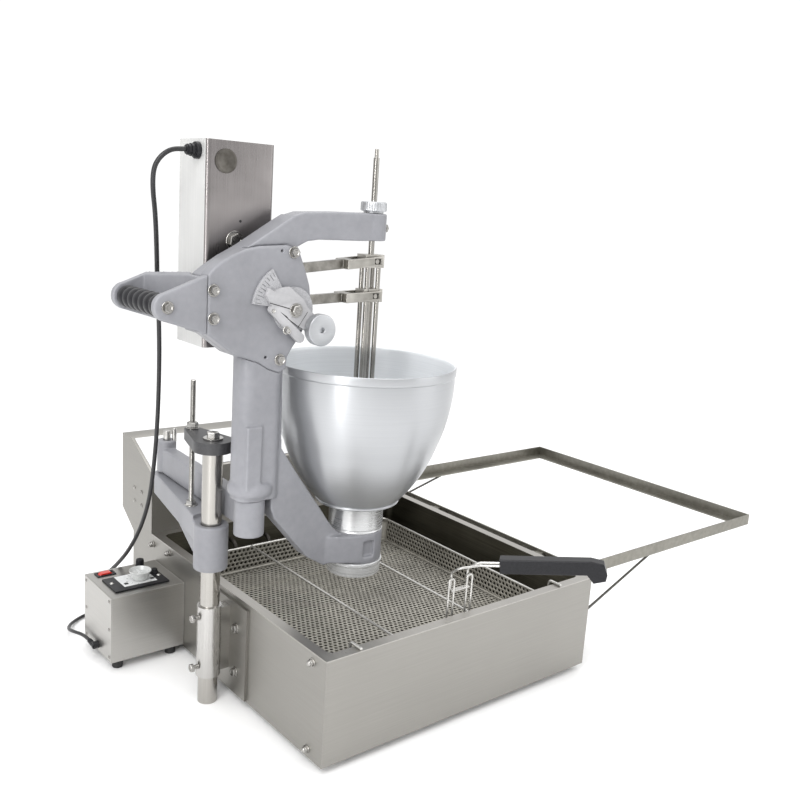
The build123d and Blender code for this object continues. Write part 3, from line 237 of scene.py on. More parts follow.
FINISHES = {
    "steel": finish(BRUSHED, (0.315, 0.305, 0.285), (0.345, 0.335, 0.313), (0.36, 0.44), blotch=4.0,
                    uneven=0.08, bump=0.06),
    "case_steel": finish(BRUSHED, (0.43, 0.42, 0.40), (0.49, 0.48, 0.46), (0.30, 0.40), uneven=0.10,
                         bump=0.05),
    "pan_steel": finish(BRUSHED, (0.12, 0.115, 0.09), (0.19, 0.18, 0.145), (0.32, 0.48), blotch=7.0,
                        uneven=0.3, bump=0.1),
    "rim_steel": finish(BRUSHED, (0.42, 0.405, 0.38), (0.48, 0.465, 0.44), (0.30, 0.40), stretch=CROSSWISE,
                        blotch=4.0, uneven=0.1, bump=0.1),
    "box_steel": finish(DRAWN, (0.31, 0.288, 0.285), (0.35, 0.33, 0.325), (0.24, 0.34), blotch=9.0,
                        uneven=0.34, bump=0.03),
    # Paler copy of the box steel for the motor box's left side: painted light from a lamp on the left
    "box_side_painted_light": finish(DRAWN, (0.62, 0.62, 0.61), (0.71, 0.71, 0.70), (0.34, 0.46), metallic=0.35,
                       blotch=7.0, bump=0.03),
    "sleeve_steel": finish(DRAWN, (0.47, 0.46, 0.445), (0.55, 0.54, 0.525), (0.22, 0.30), blotch=9.0,
                           uneven=0.08, bump=0.03),
    "post_steel": finish(DRAWN, (0.39, 0.375, 0.35), (0.47, 0.455, 0.43), (0.16, 0.24), blotch=9.0,
                         uneven=0.06, bump=0.03),
    "rod_steel": finish(DRAWN, (0.34, 0.325, 0.30), (0.50, 0.485, 0.455), (0.14, 0.26), blotch=14.0,
                        uneven=0.25, bump=0.05),
    "bowl_alloy": finish(TURNED, (0.47, 0.48, 0.495), (0.50, 0.51, 0.525), (0.30, 0.37), metallic=0.8,
                         uneven=0.08, lathe=0.8),
    # Paler, less metallic copy of the bowl's alloy for its inside faces: painted light where light fills the
    # bowl
    "bowl_inside": finish(TURNED, (0.73, 0.75, 0.77), (0.80, 0.82, 0.84), (0.34, 0.46), metallic=0.2,
                          uneven=0.06, bump=0.03),
    "neck_alloy": finish(TURNED, (0.62, 0.625, 0.63), (0.70, 0.705, 0.71), (0.24, 0.32), metallic=0.85,
                         blotch=9.0, uneven=0.06, lathe=0.7),
    # Brighter, more diffuse copy of the neck's alloy for the nozzle: painted light that offsets the shade
    # under the ring
    "nozzle_alloy_painted_light": finish(TURNED, (0.70, 0.705, 0.71), (0.78, 0.785, 0.79), (0.24, 0.32), metallic=0.5,
                           blotch=9.0, uneven=0.06, lathe=0.7),
    "bright_steel": finish(FITTING, (0.46, 0.45, 0.43), (0.60, 0.59, 0.57), (0.16, 0.30), bump=0.08),
    "bolt_steel": finish(FITTING, (0.32, 0.31, 0.295), (0.46, 0.45, 0.43), (0.20, 0.32), uneven=0.2,
                         bump=0.08),
    "wire_steel": finish(FITTING, (0.56, 0.55, 0.525), (0.68, 0.67, 0.645), (0.18, 0.30), metallic=0.75,
                         bump=0.05),
    "stay_steel": finish(FITTING, (0.07, 0.067, 0.06), (0.12, 0.115, 0.105), (0.3, 0.4), bump=0.05),
    "link_steel": finish(DULL, (0.20, 0.19, 0.17), (0.40, 0.385, 0.355), (0.26, 0.44), blotch=25.0,
                         uneven=0.30, bump=0.35, bump_scale=350.0, bump_mm=0.2, worn=0.6),
    "basket_steel": finish(DULL, (0.35, 0.335, 0.295), (0.47, 0.45, 0.40), (0.34, 0.50), metallic=0.45,
                           blotch=9.0, uneven=0.2, bump=0.1),
    "frame_steel": finish(DULL, (0.25, 0.24, 0.21), (0.33, 0.32, 0.285), (0.36, 0.5), stretch=(40, 40, 40),
                          grain=2.0, blotch=6.0, uneven=0.25, bump=0.1, bump_scale=30.0),
    "heater_steel": finish(DULL, (0.05, 0.047, 0.043), (0.12, 0.11, 0.10), (0.4, 0.6), blotch=12.0,
                           uneven=0.4, bump=0.2, bump_mm=0.1),
    "rubbed_steel": finish(DULL, (0.10, 0.092, 0.08), (0.17, 0.16, 0.145), (0.35, 0.5), grain=120.0,
                           blotch=25.0, uneven=0.25, bump=0.1),
    "casting": finish(PAINTED, (0.238, 0.240, 0.260), (0.262, 0.264, 0.284), (0.40, 0.50), grain=90.0,
                      blotch=8.0, uneven=0.20, bump=0.06, bump_scale=300.0, bump_mm=0.2, worn=0.25,
                      coat=0.12),
    "lever_paint": finish(PAINTED, (0.300, 0.298, 0.308), (0.345, 0.343, 0.352), (0.42, 0.55), bump=0.2,
                          bump_scale=600.0, bump_mm=0.12, worn=0.5),
    "lever_alloy": finish(PAINTED, (0.46, 0.47, 0.485), (0.54, 0.55, 0.565), (0.30, 0.40), metallic=0.9,
                          grain=90.0, uneven=0.12, bump=0.10, bump_scale=500.0, worn=0.4),
    "dial_grain": finish(PAINTED, (0.27, 0.27, 0.285), (0.46, 0.46, 0.475), (0.5, 0.65), grain=700.0,
                         blotch=30.0, bump=0.5, bump_scale=700.0, bump_mm=0.25),
    "tick_grey": finish(PAINTED, (0.10, 0.10, 0.105), (0.16, 0.16, 0.165), (0.5, 0.6)),
    "print_white": finish(PAINTED, (0.62, 0.63, 0.63), (0.72, 0.73, 0.73), (0.35, 0.45), grain=150.0,
                          uneven=0.08),
    # Black for print, and for painted shade in a hole and a slit
    "print_and_shade_black": finish(PAINTED, (0.012, 0.012, 0.012), (0.025, 0.025, 0.025), (0.4, 0.5)),
    "white_panel": finish(PAINTED, (0.76, 0.765, 0.77), (0.83, 0.835, 0.84), (0.30, 0.42), grain=150.0,
                          blotch=6.0, uneven=0.06, bump=0.06, bump_scale=500.0, coat=0.2),
    "motor_paint": finish(PAINTED, (0.03, 0.033, 0.04), (0.06, 0.065, 0.075), (0.35, 0.5), blotch=14.0,
                          uneven=0.2, bump=0.2, bump_scale=600.0),
    "clear_grey": finish(GLOSSY, (0.50, 0.51, 0.50), (0.60, 0.61, 0.60), (0.12, 0.2), uneven=0.08,
                         bump=0.03, bump_mm=0.03, coat=0.4),
    "grey_knob": finish(GLOSSY, (0.36, 0.37, 0.36), (0.48, 0.49, 0.48), (0.16, 0.26), uneven=0.1,
                        bump=0.05, coat=0.3),
    "red_plastic": finish(GLOSSY, (0.52, 0.015, 0.008), (0.68, 0.03, 0.015), (0.12, 0.22), blotch=30.0,
                          uneven=0.15, bump=0.05, coat=0.4),
    "black_plastic": finish(DARK, (0.008, 0.008, 0.010), (0.016, 0.016, 0.019), (0.30, 0.40), blotch=12.0,
                            bump=0.06, bump_scale=1100.0, bump_mm=0.05, specular=0.3),
    "cap_black": finish(DARK, (0.018, 0.018, 0.020), (0.040, 0.040, 0.043), (0.34, 0.50), grain=250.0,
                        blotch=14.0, bump=0.3, bump_scale=700.0, bump_mm=0.15, worn=0.4),
    "rubber_black": finish(DARK, (0.010, 0.010, 0.010), (0.022, 0.022, 0.022), (0.5, 0.7), blotch=20.0,
                           bump=0.3, bump_mm=0.15),
    "cord_black": finish(DARK, (0.012, 0.012, 0.013), (0.026, 0.026, 0.028), (0.36, 0.5), grain=250.0,
                         blotch=16.0, bump=0.15, bump_mm=0.08),
    "board_green": finish(DARK, (0.012, 0.10, 0.03), (0.03, 0.17, 0.06), (0.35, 0.5), blotch=30.0,
                          bump=0.1, bump_mm=0.05),
}
mats = {name: surface(name, **row) for name, row in FINISHES.items()}

# Nodes whose finish isn't the one of their slot
look_of = {
    "motor_box": "box_steel", "drain_frame": "frame_steel", "frame_stays": "stay_steel",
    "basket_wires": "wire_steel", "lifter_wire": "wire_steel", "post": "post_steel",
    "post_bracket": "steel", "controller_case": "case_steel", "controller_sides": "case_steel",
    "upper_link": "link_steel", "lower_link": "link_steel", "upper_yoke": "link_steel",
    "lower_yoke": "link_steel", "swing_cap": "cap_black", "dial_plate": "dial_grain",
    "size_lever": "lever_paint", "plunger_rods": "rod_steel", "cutter_rod": "rod_steel",
}


# Shapes
def paint(obj, look):
    obj.data.materials.clear()
    obj.data.materials.append(mats[look])


def smooth(obj, degrees=35.0):
    for polygon in obj.data.polygons:
        polygon.use_smooth = True
    obj.data.set_sharp_from_angle(angle=math.radians(degrees))


def gather(*shapes):
    """One bmesh from several (verts, faces)."""
    work = bmesh.new()
    for verts, faces in shapes:
        made = [work.verts.new(v) for v in verts]
        for face in faces:
            if len(set(face)) > 2:
                work.faces.new([made[i] for i in face])
    return work


def place(name, shape, body, look, degrees=35.0):
    """Object from a bmesh or (verts, faces) in the shared frame, riding on a body if one is named."""
    work = gather(shape) if isinstance(shape, tuple) else shape
    bmesh.ops.recalc_face_normals(work, faces=work.faces)
    mesh = bpy.data.meshes.new(name)
    work.to_mesh(mesh)
    work.free()
    obj = bpy.data.objects.new(name, mesh)
    scene.collection.objects.link(obj)
    paint(obj, look)
    smooth(obj, degrees)
    if body:
        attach(obj, body)
    return obj


def turned(profile, base, axis, segments=64, closed=False, knurl=None):
    """Verts and faces of a turned piece.
    profile is rows of (radius, height) in mm, and knurl is (count, depth, low, high)."""
    aim = Vector(axis).to_track_quat("Z", "Y").to_matrix()
    verts = []
    faces = []
    rows = []
    for radius, height in profile:
        row = []
        for k in range(segments if radius > TINY else 1):
            angle = 2 * math.pi * k / segments
            r = radius
            if knurl and knurl[2] <= height <= knurl[3] and radius > TINY:
                r -= knurl[1] * (0.5 + 0.5 * math.cos(knurl[0] * angle))
            row.append(len(verts))
            verts.append(base + aim @ (Vector((r * math.cos(angle), r * math.sin(angle), height)) * MM))
        rows.append(row)
    pairs = list(zip(rows, rows[1:]))
    if closed:
        pairs.append((rows[-1], rows[0]))
    for one, two in pairs:
        for k in range(segments):
            n = (k + 1) % segments
            if len(one) > 1 and len(two) > 1:
                faces.append((one[k], one[n], two[n], two[k]))
            elif len(one) > 1:
                faces.append((one[k], one[n], two[0]))
            elif len(two) > 1:
                faces.append((one[0], two[n], two[k]))
    return verts, faces


def prism(low, high):
    """Verts and faces between two outlines of as many points."""
    count = len(low)
    faces = [tuple(range(count)), tuple(range(count, 2 * count))]
    for k in range(count):
        n = (k + 1) % count
        faces.append((k, n, count + n, count + k))
    return [*low, *high], faces


def box_shape(x0, x1, y0, y1, z0, z1):
    """Block between limits in mm."""
    plan = ((x0, y0), (x1, y0), (x1, y1), (x0, y1))
    return prism([W(x, y, z0) for x, y in plan], [W(x, y, z1) for x, y in plan])


HEX = 6
HEX_ROWS = ((1.0, 0.0), (1.0, 0.80), (0.90, 1.0), (0.62, 1.0), (0.50, 0.86))
WASHER_EDGE = 0.4
WASHER_HOLE = 0.4
FLAT_DEGREES = 0.5


def hex_head(base, axis, across, height, spin):
    """Hexagon head with a turned crown, its sides chamfered at the top."""
    aim = Vector(axis).to_track_quat("Z", "Y").to_matrix()
    radius = across / math.sqrt(3)
    circles = []
    for wide, tall in HEX_ROWS:
        circle = []
        for k in range(HEX):
            angle = spin + 2 * math.pi * k / HEX
            out = Vector((math.cos(angle), math.sin(angle), 0)) * radius * wide
            circle.append(base + aim @ ((out + Vector((0, 0, height * tall))) * MM))
        circles.append(circle)
    return tube(circles)


def bolt(base, axis, across, height, spin, outer, thick, lift=None):
    """Washer with a hexagon head, which stands on the washer or lift above the washer's foot."""
    hole = outer * WASHER_HOLE
    flat = outer - WASHER_EDGE
    rows = [(hole, 0), (flat, 0), (outer, WASHER_EDGE), (outer, thick - WASHER_EDGE), (flat, thick),
            (hole, thick)]
    step = thick if lift is None else lift
    head = hex_head(base + Vector(axis) * step * MM, axis, across, height, spin)
    return [turned(rows, base, axis, 40, True), head]


def rounded(work, width, segments, degrees=30.0):
    """Bevels the edges of a bmesh that turn by more than an angle."""
    bmesh.ops.remove_doubles(work, verts=work.verts, dist=TINY)
    bmesh.ops.dissolve_limit(work, angle_limit=math.radians(FLAT_DEGREES), verts=work.verts, edges=work.edges)
    sharp = []
    for edge in work.edges:
        if len(edge.link_faces) == 2 and edge.calc_face_angle(0.0) > math.radians(degrees):
            sharp.append(edge)
    bmesh.ops.bevel(work, geom=sharp, offset=width * MM, segments=segments, profile=0.5, affect="EDGES",
                    clamp_overlap=True)


def soften(name, width, segments=2):
    """A CAD node as a copy with small rounded edges, standing for the node."""
    work = bmesh.new()
    work.from_mesh(nodes[name].data)
    rounded(work, width, segments)
    look = look_of.get(name, slot_of[name])
    made = place(name + "_dressed", work, nodes[name]["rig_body"], look, 40.0)
    shading = made.modifiers.new("shading", "WEIGHTED_NORMAL")
    shading.keep_sharp = True
    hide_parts(name)
    return made


def finish_faces(obj, look, chosen):
    """Gives a second finish to the faces that a test picks."""
    index = len(obj.data.materials)
    obj.data.materials.append(mats[look])
    for polygon in obj.data.polygons:
        if chosen(polygon):
            polygon.material_index = index


def cast(name, voxel, rounds, cuts=(), extras=()):
    """A CAD node remeshed and smoothed, so that its edges run soft like a sand casting's."""
    work = bmesh.new()
    work.from_mesh(nodes[name].data)
    bmesh.ops.remove_doubles(work, verts=work.verts, dist=TINY)
    mesh = bpy.data.meshes.new(name + "_cast")
    work.to_mesh(mesh)
    work.free()
    rough = bpy.data.objects.new(name + "_rough", mesh)
    scene.collection.objects.link(rough)
    helpers = []
    changes = [(shape, "UNION") for shape in extras] + [(shape, "DIFFERENCE") for shape in cuts]
    for index, (shape, operation) in enumerate(changes):
        tool_mesh = bpy.data.meshes.new(f"{name}_tool_{index}")
        tool = gather(shape)
        bmesh.ops.recalc_face_normals(tool, faces=tool.faces)
        tool.to_mesh(tool_mesh)
        tool.free()
        tool_obj = bpy.data.objects.new(f"{name}_tool_{index}", tool_mesh)
        scene.collection.objects.link(tool_obj)
        helpers.append(tool_obj)
        change = rough.modifiers.new(f"change_{index}", "BOOLEAN")
        change.operation = operation
        change.solver = "EXACT"
        change.object = tool_obj
    remesh = rough.modifiers.new("remesh", "REMESH")
    remesh.mode = "VOXEL"
    remesh.voxel_size = voxel * MM
    soft = rough.modifiers.new("soft", "SMOOTH")
    soft.factor = 0.5
    soft.iterations = rounds
    graph = bpy.context.evaluated_depsgraph_get()
    final = bpy.data.meshes.new_from_object(rough.evaluated_get(graph))
    for obj in [rough, *helpers]:
        bpy.data.objects.remove(obj)
    made = bpy.data.objects.new(name + "_casting", final)
    scene.collection.objects.link(made)
    paint(made, "casting")
    smooth(made, 80.0)
    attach(made, nodes[name]["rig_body"])
    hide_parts(name)


# Cords
def curve(name, points, radius):
    """Round black cord on one smooth spline with these control points."""
    data = bpy.data.curves.new(name, "CURVE")
    data.dimensions = "3D"
    data.bevel_depth = radius * MM
    data.bevel_resolution = 5
    data.resolution_u = 10
    data.use_fill_caps = True
    line = data.splines.new("NURBS")
    line.points.add(len(points) - 1)
    for point, place_at in zip(line.points, points):
        point.co = (*place_at, 1.0)
    line.order_u = 3
    line.use_endpoint_u = True
    obj = bpy.data.objects.new(name, data)
    scene.collection.objects.link(obj)
    obj.data.materials.append(mats["cord_black"])
    return obj


def spline_points(obj):
    """The points of a cord's centreline, in order."""
    data = obj.data.copy()
    data.bevel_depth = 0.0
    bare = bpy.data.objects.new("bare", data)
    scene.collection.objects.link(bare)
    graph = bpy.context.evaluated_depsgraph_get()
    mesh = bpy.data.meshes.new_from_object(bare.evaluated_get(graph))
    points = [v.co.copy() for v in mesh.vertices]
    bpy.data.objects.remove(bare)
    return points


def run_length(points):
    return sum((b - a).length for a, b in zip(points, points[1:]))


def circles_along(points, radius, sides=14):
    """Circles round a line, turned along it without twist."""
    made = []
    normal = (points[1] - points[0]).orthogonal().normalized()
    for i, point in enumerate(points):
        along = (points[min(i + 1, len(points) - 1)] - points[max(i - 1, 0)]).normalized()
        normal = (normal - along * normal.dot(along)).normalized()
        aside = along.cross(normal)
        circle = []
        for k in range(sides):
            angle = 2 * math.pi * k / sides
            circle.append(point + (normal * math.cos(angle) + aside * math.sin(angle)) * radius)
        made.append(circle)
    return made


def tube(circles):
    """Verts and faces of a closed tube through circles."""
    sides = len(circles[0])
    verts = [v for circle in circles for v in circle]
    faces = [tuple(range(sides)), tuple(len(verts) - sides + k for k in range(sides))]
    for row in range(len(circles) - 1):
        for k in range(sides):
            n = (k + 1) % sides
            faces.append((row * sides + k, row * sides + n, row * sides + sides + n, row * sides + sides + k))
    return verts, faces


# The mains lead goes along the floor into a coil of two layers and ends in its plug
MAINS_EXIT = (-151.0, 552.0, 30.0)
COIL_AT = (110.0, 768.0)
COIL_TURNS = 2.5
COIL_PITCH = 8.2
COIL_MID_R = 36.0
COIL_SWELL = 1.01
COIL_STEPS = 16
RISE_TURNS = 0.5
LEAD_IN = 52.5
TAIL_STEPS = (24, 50.5)
LOW_Z = LEAD_R + 0.1
HIGH_Z = LOW_Z + 2 * LEAD_R + 1.2


def coil_point(turns):
    """Point of the two-layer coil after a number of turns, from its front, counter-clockwise."""
    inner = COIL_MID_R - COIL_PITCH * COIL_TURNS / 2
    outer = COIL_MID_R + COIL_PITCH * COIL_TURNS / 2
    height = LOW_Z
    radius = outer - COIL_PITCH * turns
    if turns > COIL_TURNS:
        share = min(1.0, (turns - COIL_TURNS) / RISE_TURNS)
        height = LOW_Z + (HIGH_Z - LOW_Z) * share * share * (3 - 2 * share)
        radius = inner + COIL_PITCH * max(0.0, turns - COIL_TURNS - RISE_TURNS)
    angle = 2 * math.pi * turns - math.pi / 2
    reach = COIL_SWELL * radius
    return Vector((COIL_AT[0] + reach * math.cos(angle), COIL_AT[1] + reach * math.sin(angle), height))


all_turns = 2 * COIL_TURNS + RISE_TURNS
coil_points = [coil_point(i / COIL_STEPS) for i in range(int(all_turns * COIL_STEPS) + 1)]
heading_in = (coil_points[1] - coil_points[0]).normalized()
heading_out = (coil_points[-1] - coil_points[-2]).normalized()
heading_out.z = 0
lead_in = coil_points[0] - heading_in * LEAD_IN
tail = [coil_points[-1] + heading_out * step for step in TAIL_STEPS]
lead_route = [MAINS_EXIT, (-151, 578, 30), (-160, 612, 25), (-158, 648, 15), (-138, 684, 7), (-102, 711, 3.9),
              (-54, 724, LOW_Z), (-4, 728, LOW_Z), lead_in, *coil_points, *tail]
mains_lead = curve("mains_lead_line", [W(*p) for p in lead_route], LEAD_R)
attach(mains_lead, "base")
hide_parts("mains_lead", "lead_coil")
mains_length = run_length(spline_points(mains_lead))

# The motor cord is a chain of tubes from the head to the controller, split at one height near each joint
MOTOR_EXIT = (-92.0, 305.0, 931.0)
CASE_EXIT = (-75.0, 617.0, 40.0)
motor_route = [MOTOR_EXIT, (-108.5, 305, 931), (-123.7, 305, 924.7), (-135.4, 306.7, 913),
               (-141.7, 309.2, 897.8), (-140, 315, 870), (-127, 333, 832), (-116, 351, 778),
               (-107, 367, 716), (-93, 388, 640), (-81, 413, 555), (-71, 440, 465), (-64, 468, 380),
               (-59, 498, 306), (-60, 534, 240), (-66, 576, 182), (-72, 624, 136), (-74.5, 672, 99),
               (-75, 673.4, 63.3), (-75, 650, 40), CASE_EXIT]
motor_line = curve("motor_cord_line", [W(*p) for p in motor_route], MOTOR_CORD_R)
motor_points = spline_points(motor_line)
bpy.data.objects.remove(motor_line)
motor_rings = circles_along(motor_points, MOTOR_CORD_R * MM)
# Each tube: its name, the bodies below and above its joint, and the heights between which it bends
CORD_LINKS = (
    ("motor_cord_top", "arm_two", "head", 700, 865),
    ("motor_cord_upper", "arm_one", "arm_two", 510, 700),
    ("motor_cord_middle", "cap", "arm_one", 330, 510),
    ("motor_cord_low", "base", "cap", 160, 330),
)
first = 0
for name, below, above, low_z, high_z in CORD_LINKS:
    last = len(motor_points) - 1
    if name != CORD_LINKS[-1][0]:
        last = next(i for i, p in enumerate(motor_points) if i > first and p.z < low_z * MM)
    piece = place(name, tube(motor_rings[first:last + 1]), None, "cord_black", 60)
    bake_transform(piece)
    first = last
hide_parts("motor_cord")

# Light and floor
SKY_STRENGTH = 1.08
world = bpy.data.worlds.new("studio")
scene.world = world
world.use_nodes = True
tree = world.node_tree
coords = node(tree, "ShaderNodeTexCoord")
apart = node(tree, "ShaderNodeSeparateXYZ")
tree.links.new(coords.outputs["Generated"], apart.inputs["Vector"])
sky = ramp(tree, apart.outputs["Z"], (0.80, 0.80, 0.80), (1.0, 1.0, 1.0), 0.0, 0.6)
path = node(tree, "ShaderNodeLightPath")
seen = node(tree, "ShaderNodeMix", data_type="RGBA")
seen.inputs["B"].default_value = (1, 1, 1, 1)
tree.links.new(path.outputs["Is Camera Ray"], seen.inputs["Factor"])
tree.links.new(sky, seen.inputs["A"])
background = tree.nodes["Background"]
tree.links.new(seen.outputs["Result"], background.inputs["Color"])
background.inputs["Strength"].default_value = SKY_STRENGTH


def area(name, at, to, size, power):
    data = bpy.data.lights.new(name, "AREA")
    data.size = size
    data.energy = power
    obj = bpy.data.objects.new(name, data)
    scene.collection.objects.link(obj)
    obj.location = at
    obj.rotation_euler = (Vector(to) - Vector(at)).to_track_quat("-Z", "Y").to_euler()
    return obj


area("key", (-2.2, -1.2, 2.6), (0, 0, 0.4), 1.6, 38)
area("fill", (2.2, -2.4, 1.8), (0, 0, 0.4), 2.2, 18)
area("top", (0.2, 0.6, 3.2), (0, 0, 0.3), 2.0, 28)
strip_light = area("strip", (-2.3, -1.1, 1.0), (-0.33, -0.08, 0.5), 0.22, 14)
strip_light.data.shape = "RECTANGLE"
strip_light.data.size_y = 1.8
FLOOR_HALF = 15
floor_plan = [(-FLOOR_HALF, -FLOOR_HALF, 0), (FLOOR_HALF, -FLOOR_HALF, 0), (FLOOR_HALF, FLOOR_HALF, 0),
              (-FLOOR_HALF, FLOOR_HALF, 0)]
floor = bpy.data.objects.new("floor", bpy.data.meshes.new("floor"))
floor.data.from_pydata(floor_plan, [], [(0, 1, 2, 3)])
floor_look = surface("floor", (0.98, 0.98, 0.98), (0.985, 0.985, 0.985), (0.55, 0.65), grain=3.0,
                     blotch=0.5, uneven=0.01)
floor.data.materials.append(floor_look)
scene.collection.objects.link(floor)

# CAD nodes that stay get their finish
for name, obj in nodes.items():
    paint(obj, look_of.get(name, slot_of[name]))

# Sheet metal and plain parts with small rounded edges
EDGE_WIDTHS = {
    "cabinet": 1.6, "oil_tank": 1.2, "control_head": 2.2, "head_panel": 0.5, "drain_frame": 0.9,
    "frame_hinges": 0.5, "motor_box": 0.7, "controller_case": 0.8, "controller_sides": 0.6,
    "controller_plate": 0.7, "power_rocker": 0.8, "swing_cap": 2.0, "post_bracket": 1.0, "size_lever": 0.8,
    "dial_plate": 0.6, "upper_yoke": 1.6, "lower_yoke": 1.6, "upper_link": 1.2, "lower_link": 1.2,
    "heater_switch": 0.6, "thermostat_knob": 0.8, "pilot_lamps": 0.8, "post": 0.8, "elbow_pin": 1.0,
    "tank_feet": 1.5, "controller_feet": 1.5, "mains_plug": 1.0,
}
dressed = {name: soften(name, width) for name, width in EDGE_WIDTHS.items()}
soften("lifter_grip", 4.0, 4)

# The tank's flat rim is brighter than its oily inside
RIM_FACE_Z = 193.0 * MM
RIM_RIGHT_X = W(590, 0, 0).x
finish_faces(dressed["oil_tank"], "rim_steel", lambda p: p.center.z > RIM_FACE_Z and p.center.x < RIM_RIGHT_X)

# The motor box's left side gets a paler finish that paints the light of a lamp from the left, and the
# bracket's sleeve is a satin tube
SLEEVE_REACH = 25.0 * MM
FACES_LEFT = -0.9
post_axis = W(*POST, 0)
finish_faces(dressed["motor_box"], "box_side_painted_light", lambda p: p.normal.x < FACES_LEFT)
finish_faces(dressed["post_bracket"], "sleeve_steel",
             lambda p: (p.center - post_axis).xy.length < SLEEVE_REACH)

# Castings: the head has a raised rib and a collar on its column, and a clamp lug with a slot on its ring
COLLAR_ROWS = [(0, 392), (26, 392), (33.0, 395), (36.5, 400), (37.5, 406), (36.5, 412), (33.0, 417),
               (26, 421), (0, 421)]
LUG_PLAN = ((140, -15), (160, -27), (180, -38), (198, -45.5), (212, -48.5), (228, -48.5), (236, -45),
            (238, -30), (200, -8), (140, -8))
LUG_Z = (249, 298)
COVER_HOLES = ((28, 789), (5, 624))
COVER_HOLE_ROWS = [(0, 0), (2.6, 0), (2.6, 10), (0, 10)]
collar = turned(COLLAR_ROWS, W(*SPIN, 0), UP)
rib = box_shape(SPIN[0] - 25, SPIN[0] + 2, SPIN[1] - 31, SPIN[1] - 15, 410, 514)
lug = prism([H(s, d, LUG_Z[0]) for s, d in LUG_PLAN], [H(s, d, LUG_Z[1]) for s, d in LUG_PLAN])
lug_slot = box_shape(SPIN[0] + 206, SPIN[0] + 227, SPIN[1] - 60, SPIN[1] - 41.5, 258, 287)
cover_cuts = [turned(COVER_HOLE_ROWS, H(s, -18, z), FRONT, 20) for s, z in COVER_HOLES]
cast("head_frame", 1.7, 7, cuts=[lug_slot], extras=[collar, rib, lug])
cast("case_cover", 1.5, 5, cuts=cover_cuts)
cast("handle_fork", 1.6, 6)
cast("lower_arm", 1.8, 8)
cast("upper_arm", 1.8, 7)


# Hopper with its rolled band and bright lip
def bow(a, b, c, steps=14):
    """Rows (radius, height) on the arc from a through b to c, without its first point."""
    bx, by = b[0] - a[0], b[1] - a[1]
    cx, cy = c[0] - a[0], c[1] - a[1]
    twice = 2 * (bx * cy - by * cx)
    ux = (cy * (bx * bx + by * by) - by * (cx * cx + cy * cy)) / twice
    uy = (bx * (cx * cx + cy * cy) - cx * (bx * bx + by * by)) / twice
    reach = math.hypot(ux, uy)
    start = math.atan2(-uy, -ux)
    swing = (math.atan2(cy - uy, cx - ux) - start + math.pi) % (2 * math.pi) - math.pi
    rows = []
    for i in range(1, steps + 1):
        angle = start + swing * i / steps
        rows.append((a[0] + ux + reach * math.cos(angle), a[1] + uy + reach * math.sin(angle)))
    return rows


NECK_INSIDE = [(38.6, 301), (38.6, 354), (39.6, 355.2), (71.4, 359.1)]
LIP_ROWS = [(155.2, 596), (155.6, 599.4), (156.8, 601.3), (158.4, 602), (159.5, 601.2), (160, 599.4),
            (160, 590), (159.6, 588), (158.6, 586.8), (157.9, 586.2)]
NECK_OUTSIDE = [(73.6, 356.8), (74.4, 356.0), (74.5, 355.0), (74.4, 353.6), (73.4, 352.2), (71.0, 351.4),
                (52, 350.6), (49.4, 349.6), (48.5, 347.6), (48.5, 307), (47.8, 305.8), (47.8, 304),
                (48.5, 302.8), (48.5, 301.4), (48, 301)]
NECK_TOP = 350.4 * MM
bowl_axis = W(*BOWL, 0)
bowl_inside = bow((72, 359.2), (104.7, 401.7), (132.3, 461.3)) + bow((132.3, 461.3), (151, 530), (154.8, 588))
bowl_outside = bow((158.2, 586), (154.5, 530), (135.5, 460)) + bow((135.5, 460), (107.5, 400), (74, 357.4))
hopper_rows = NECK_INSIDE + bowl_inside + LIP_ROWS + bowl_outside + NECK_OUTSIDE
hopper_shape = turned(hopper_rows, bowl_axis, UP, 192, True)
hopper = place("hopper_bowl", hopper_shape, "head", "bowl_alloy", 30)
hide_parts("hopper")


def faces_in(polygon):
    """True for a face above the neck that looks towards the bowl's axis."""
    out = polygon.center - bowl_axis
    return polygon.center.z > NECK_TOP and polygon.normal.x * out.x + polygon.normal.y * out.y < 0


finish_faces(hopper, "neck_alloy", lambda p: p.center.z <= NECK_TOP)
# Faces inside the bowl get the paler copy of its alloy as painted light
finish_faces(hopper, "bowl_inside", faces_in)
nozzle_rows = [(32, 219), (32, 311), (38, 311), (38, 245.2), (49.8, 245), (50.5, 244.2), (50.5, 240.4),
               (49.8, 239.4), (48.9, 238.6), (48.5, 237.4), (48.5, 221.4), (47.6, 219.6), (46.4, 219)]
nozzle_shape = turned(nozzle_rows, bowl_axis, UP, 128, True)
# The nozzle's alloy is painted brighter against the shade under the ring
nozzle = place("nozzle_tube", nozzle_shape, "head", "nozzle_alloy_painted_light", 30)
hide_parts("nozzle")

# Perforated basket
BASKET = (26.0, 560.0, 28.0, 566.0)
FLOOR_Z = 94.0
RIM_Z = 144.0
CORNER = 12.0
BEND = 4.0
SHEET = 1.1
PITCH = 10.0
ROW = PITCH * math.sqrt(3) / 2
HOLE_R = 3.4
HOLE_SIDES = 8
HOLE_SHARE = 0.40
CELL = ((1, 0), (1, 1), (0, 1), (-1, 1), (-1, 0), (-1, -1), (0, -1), (1, -1))


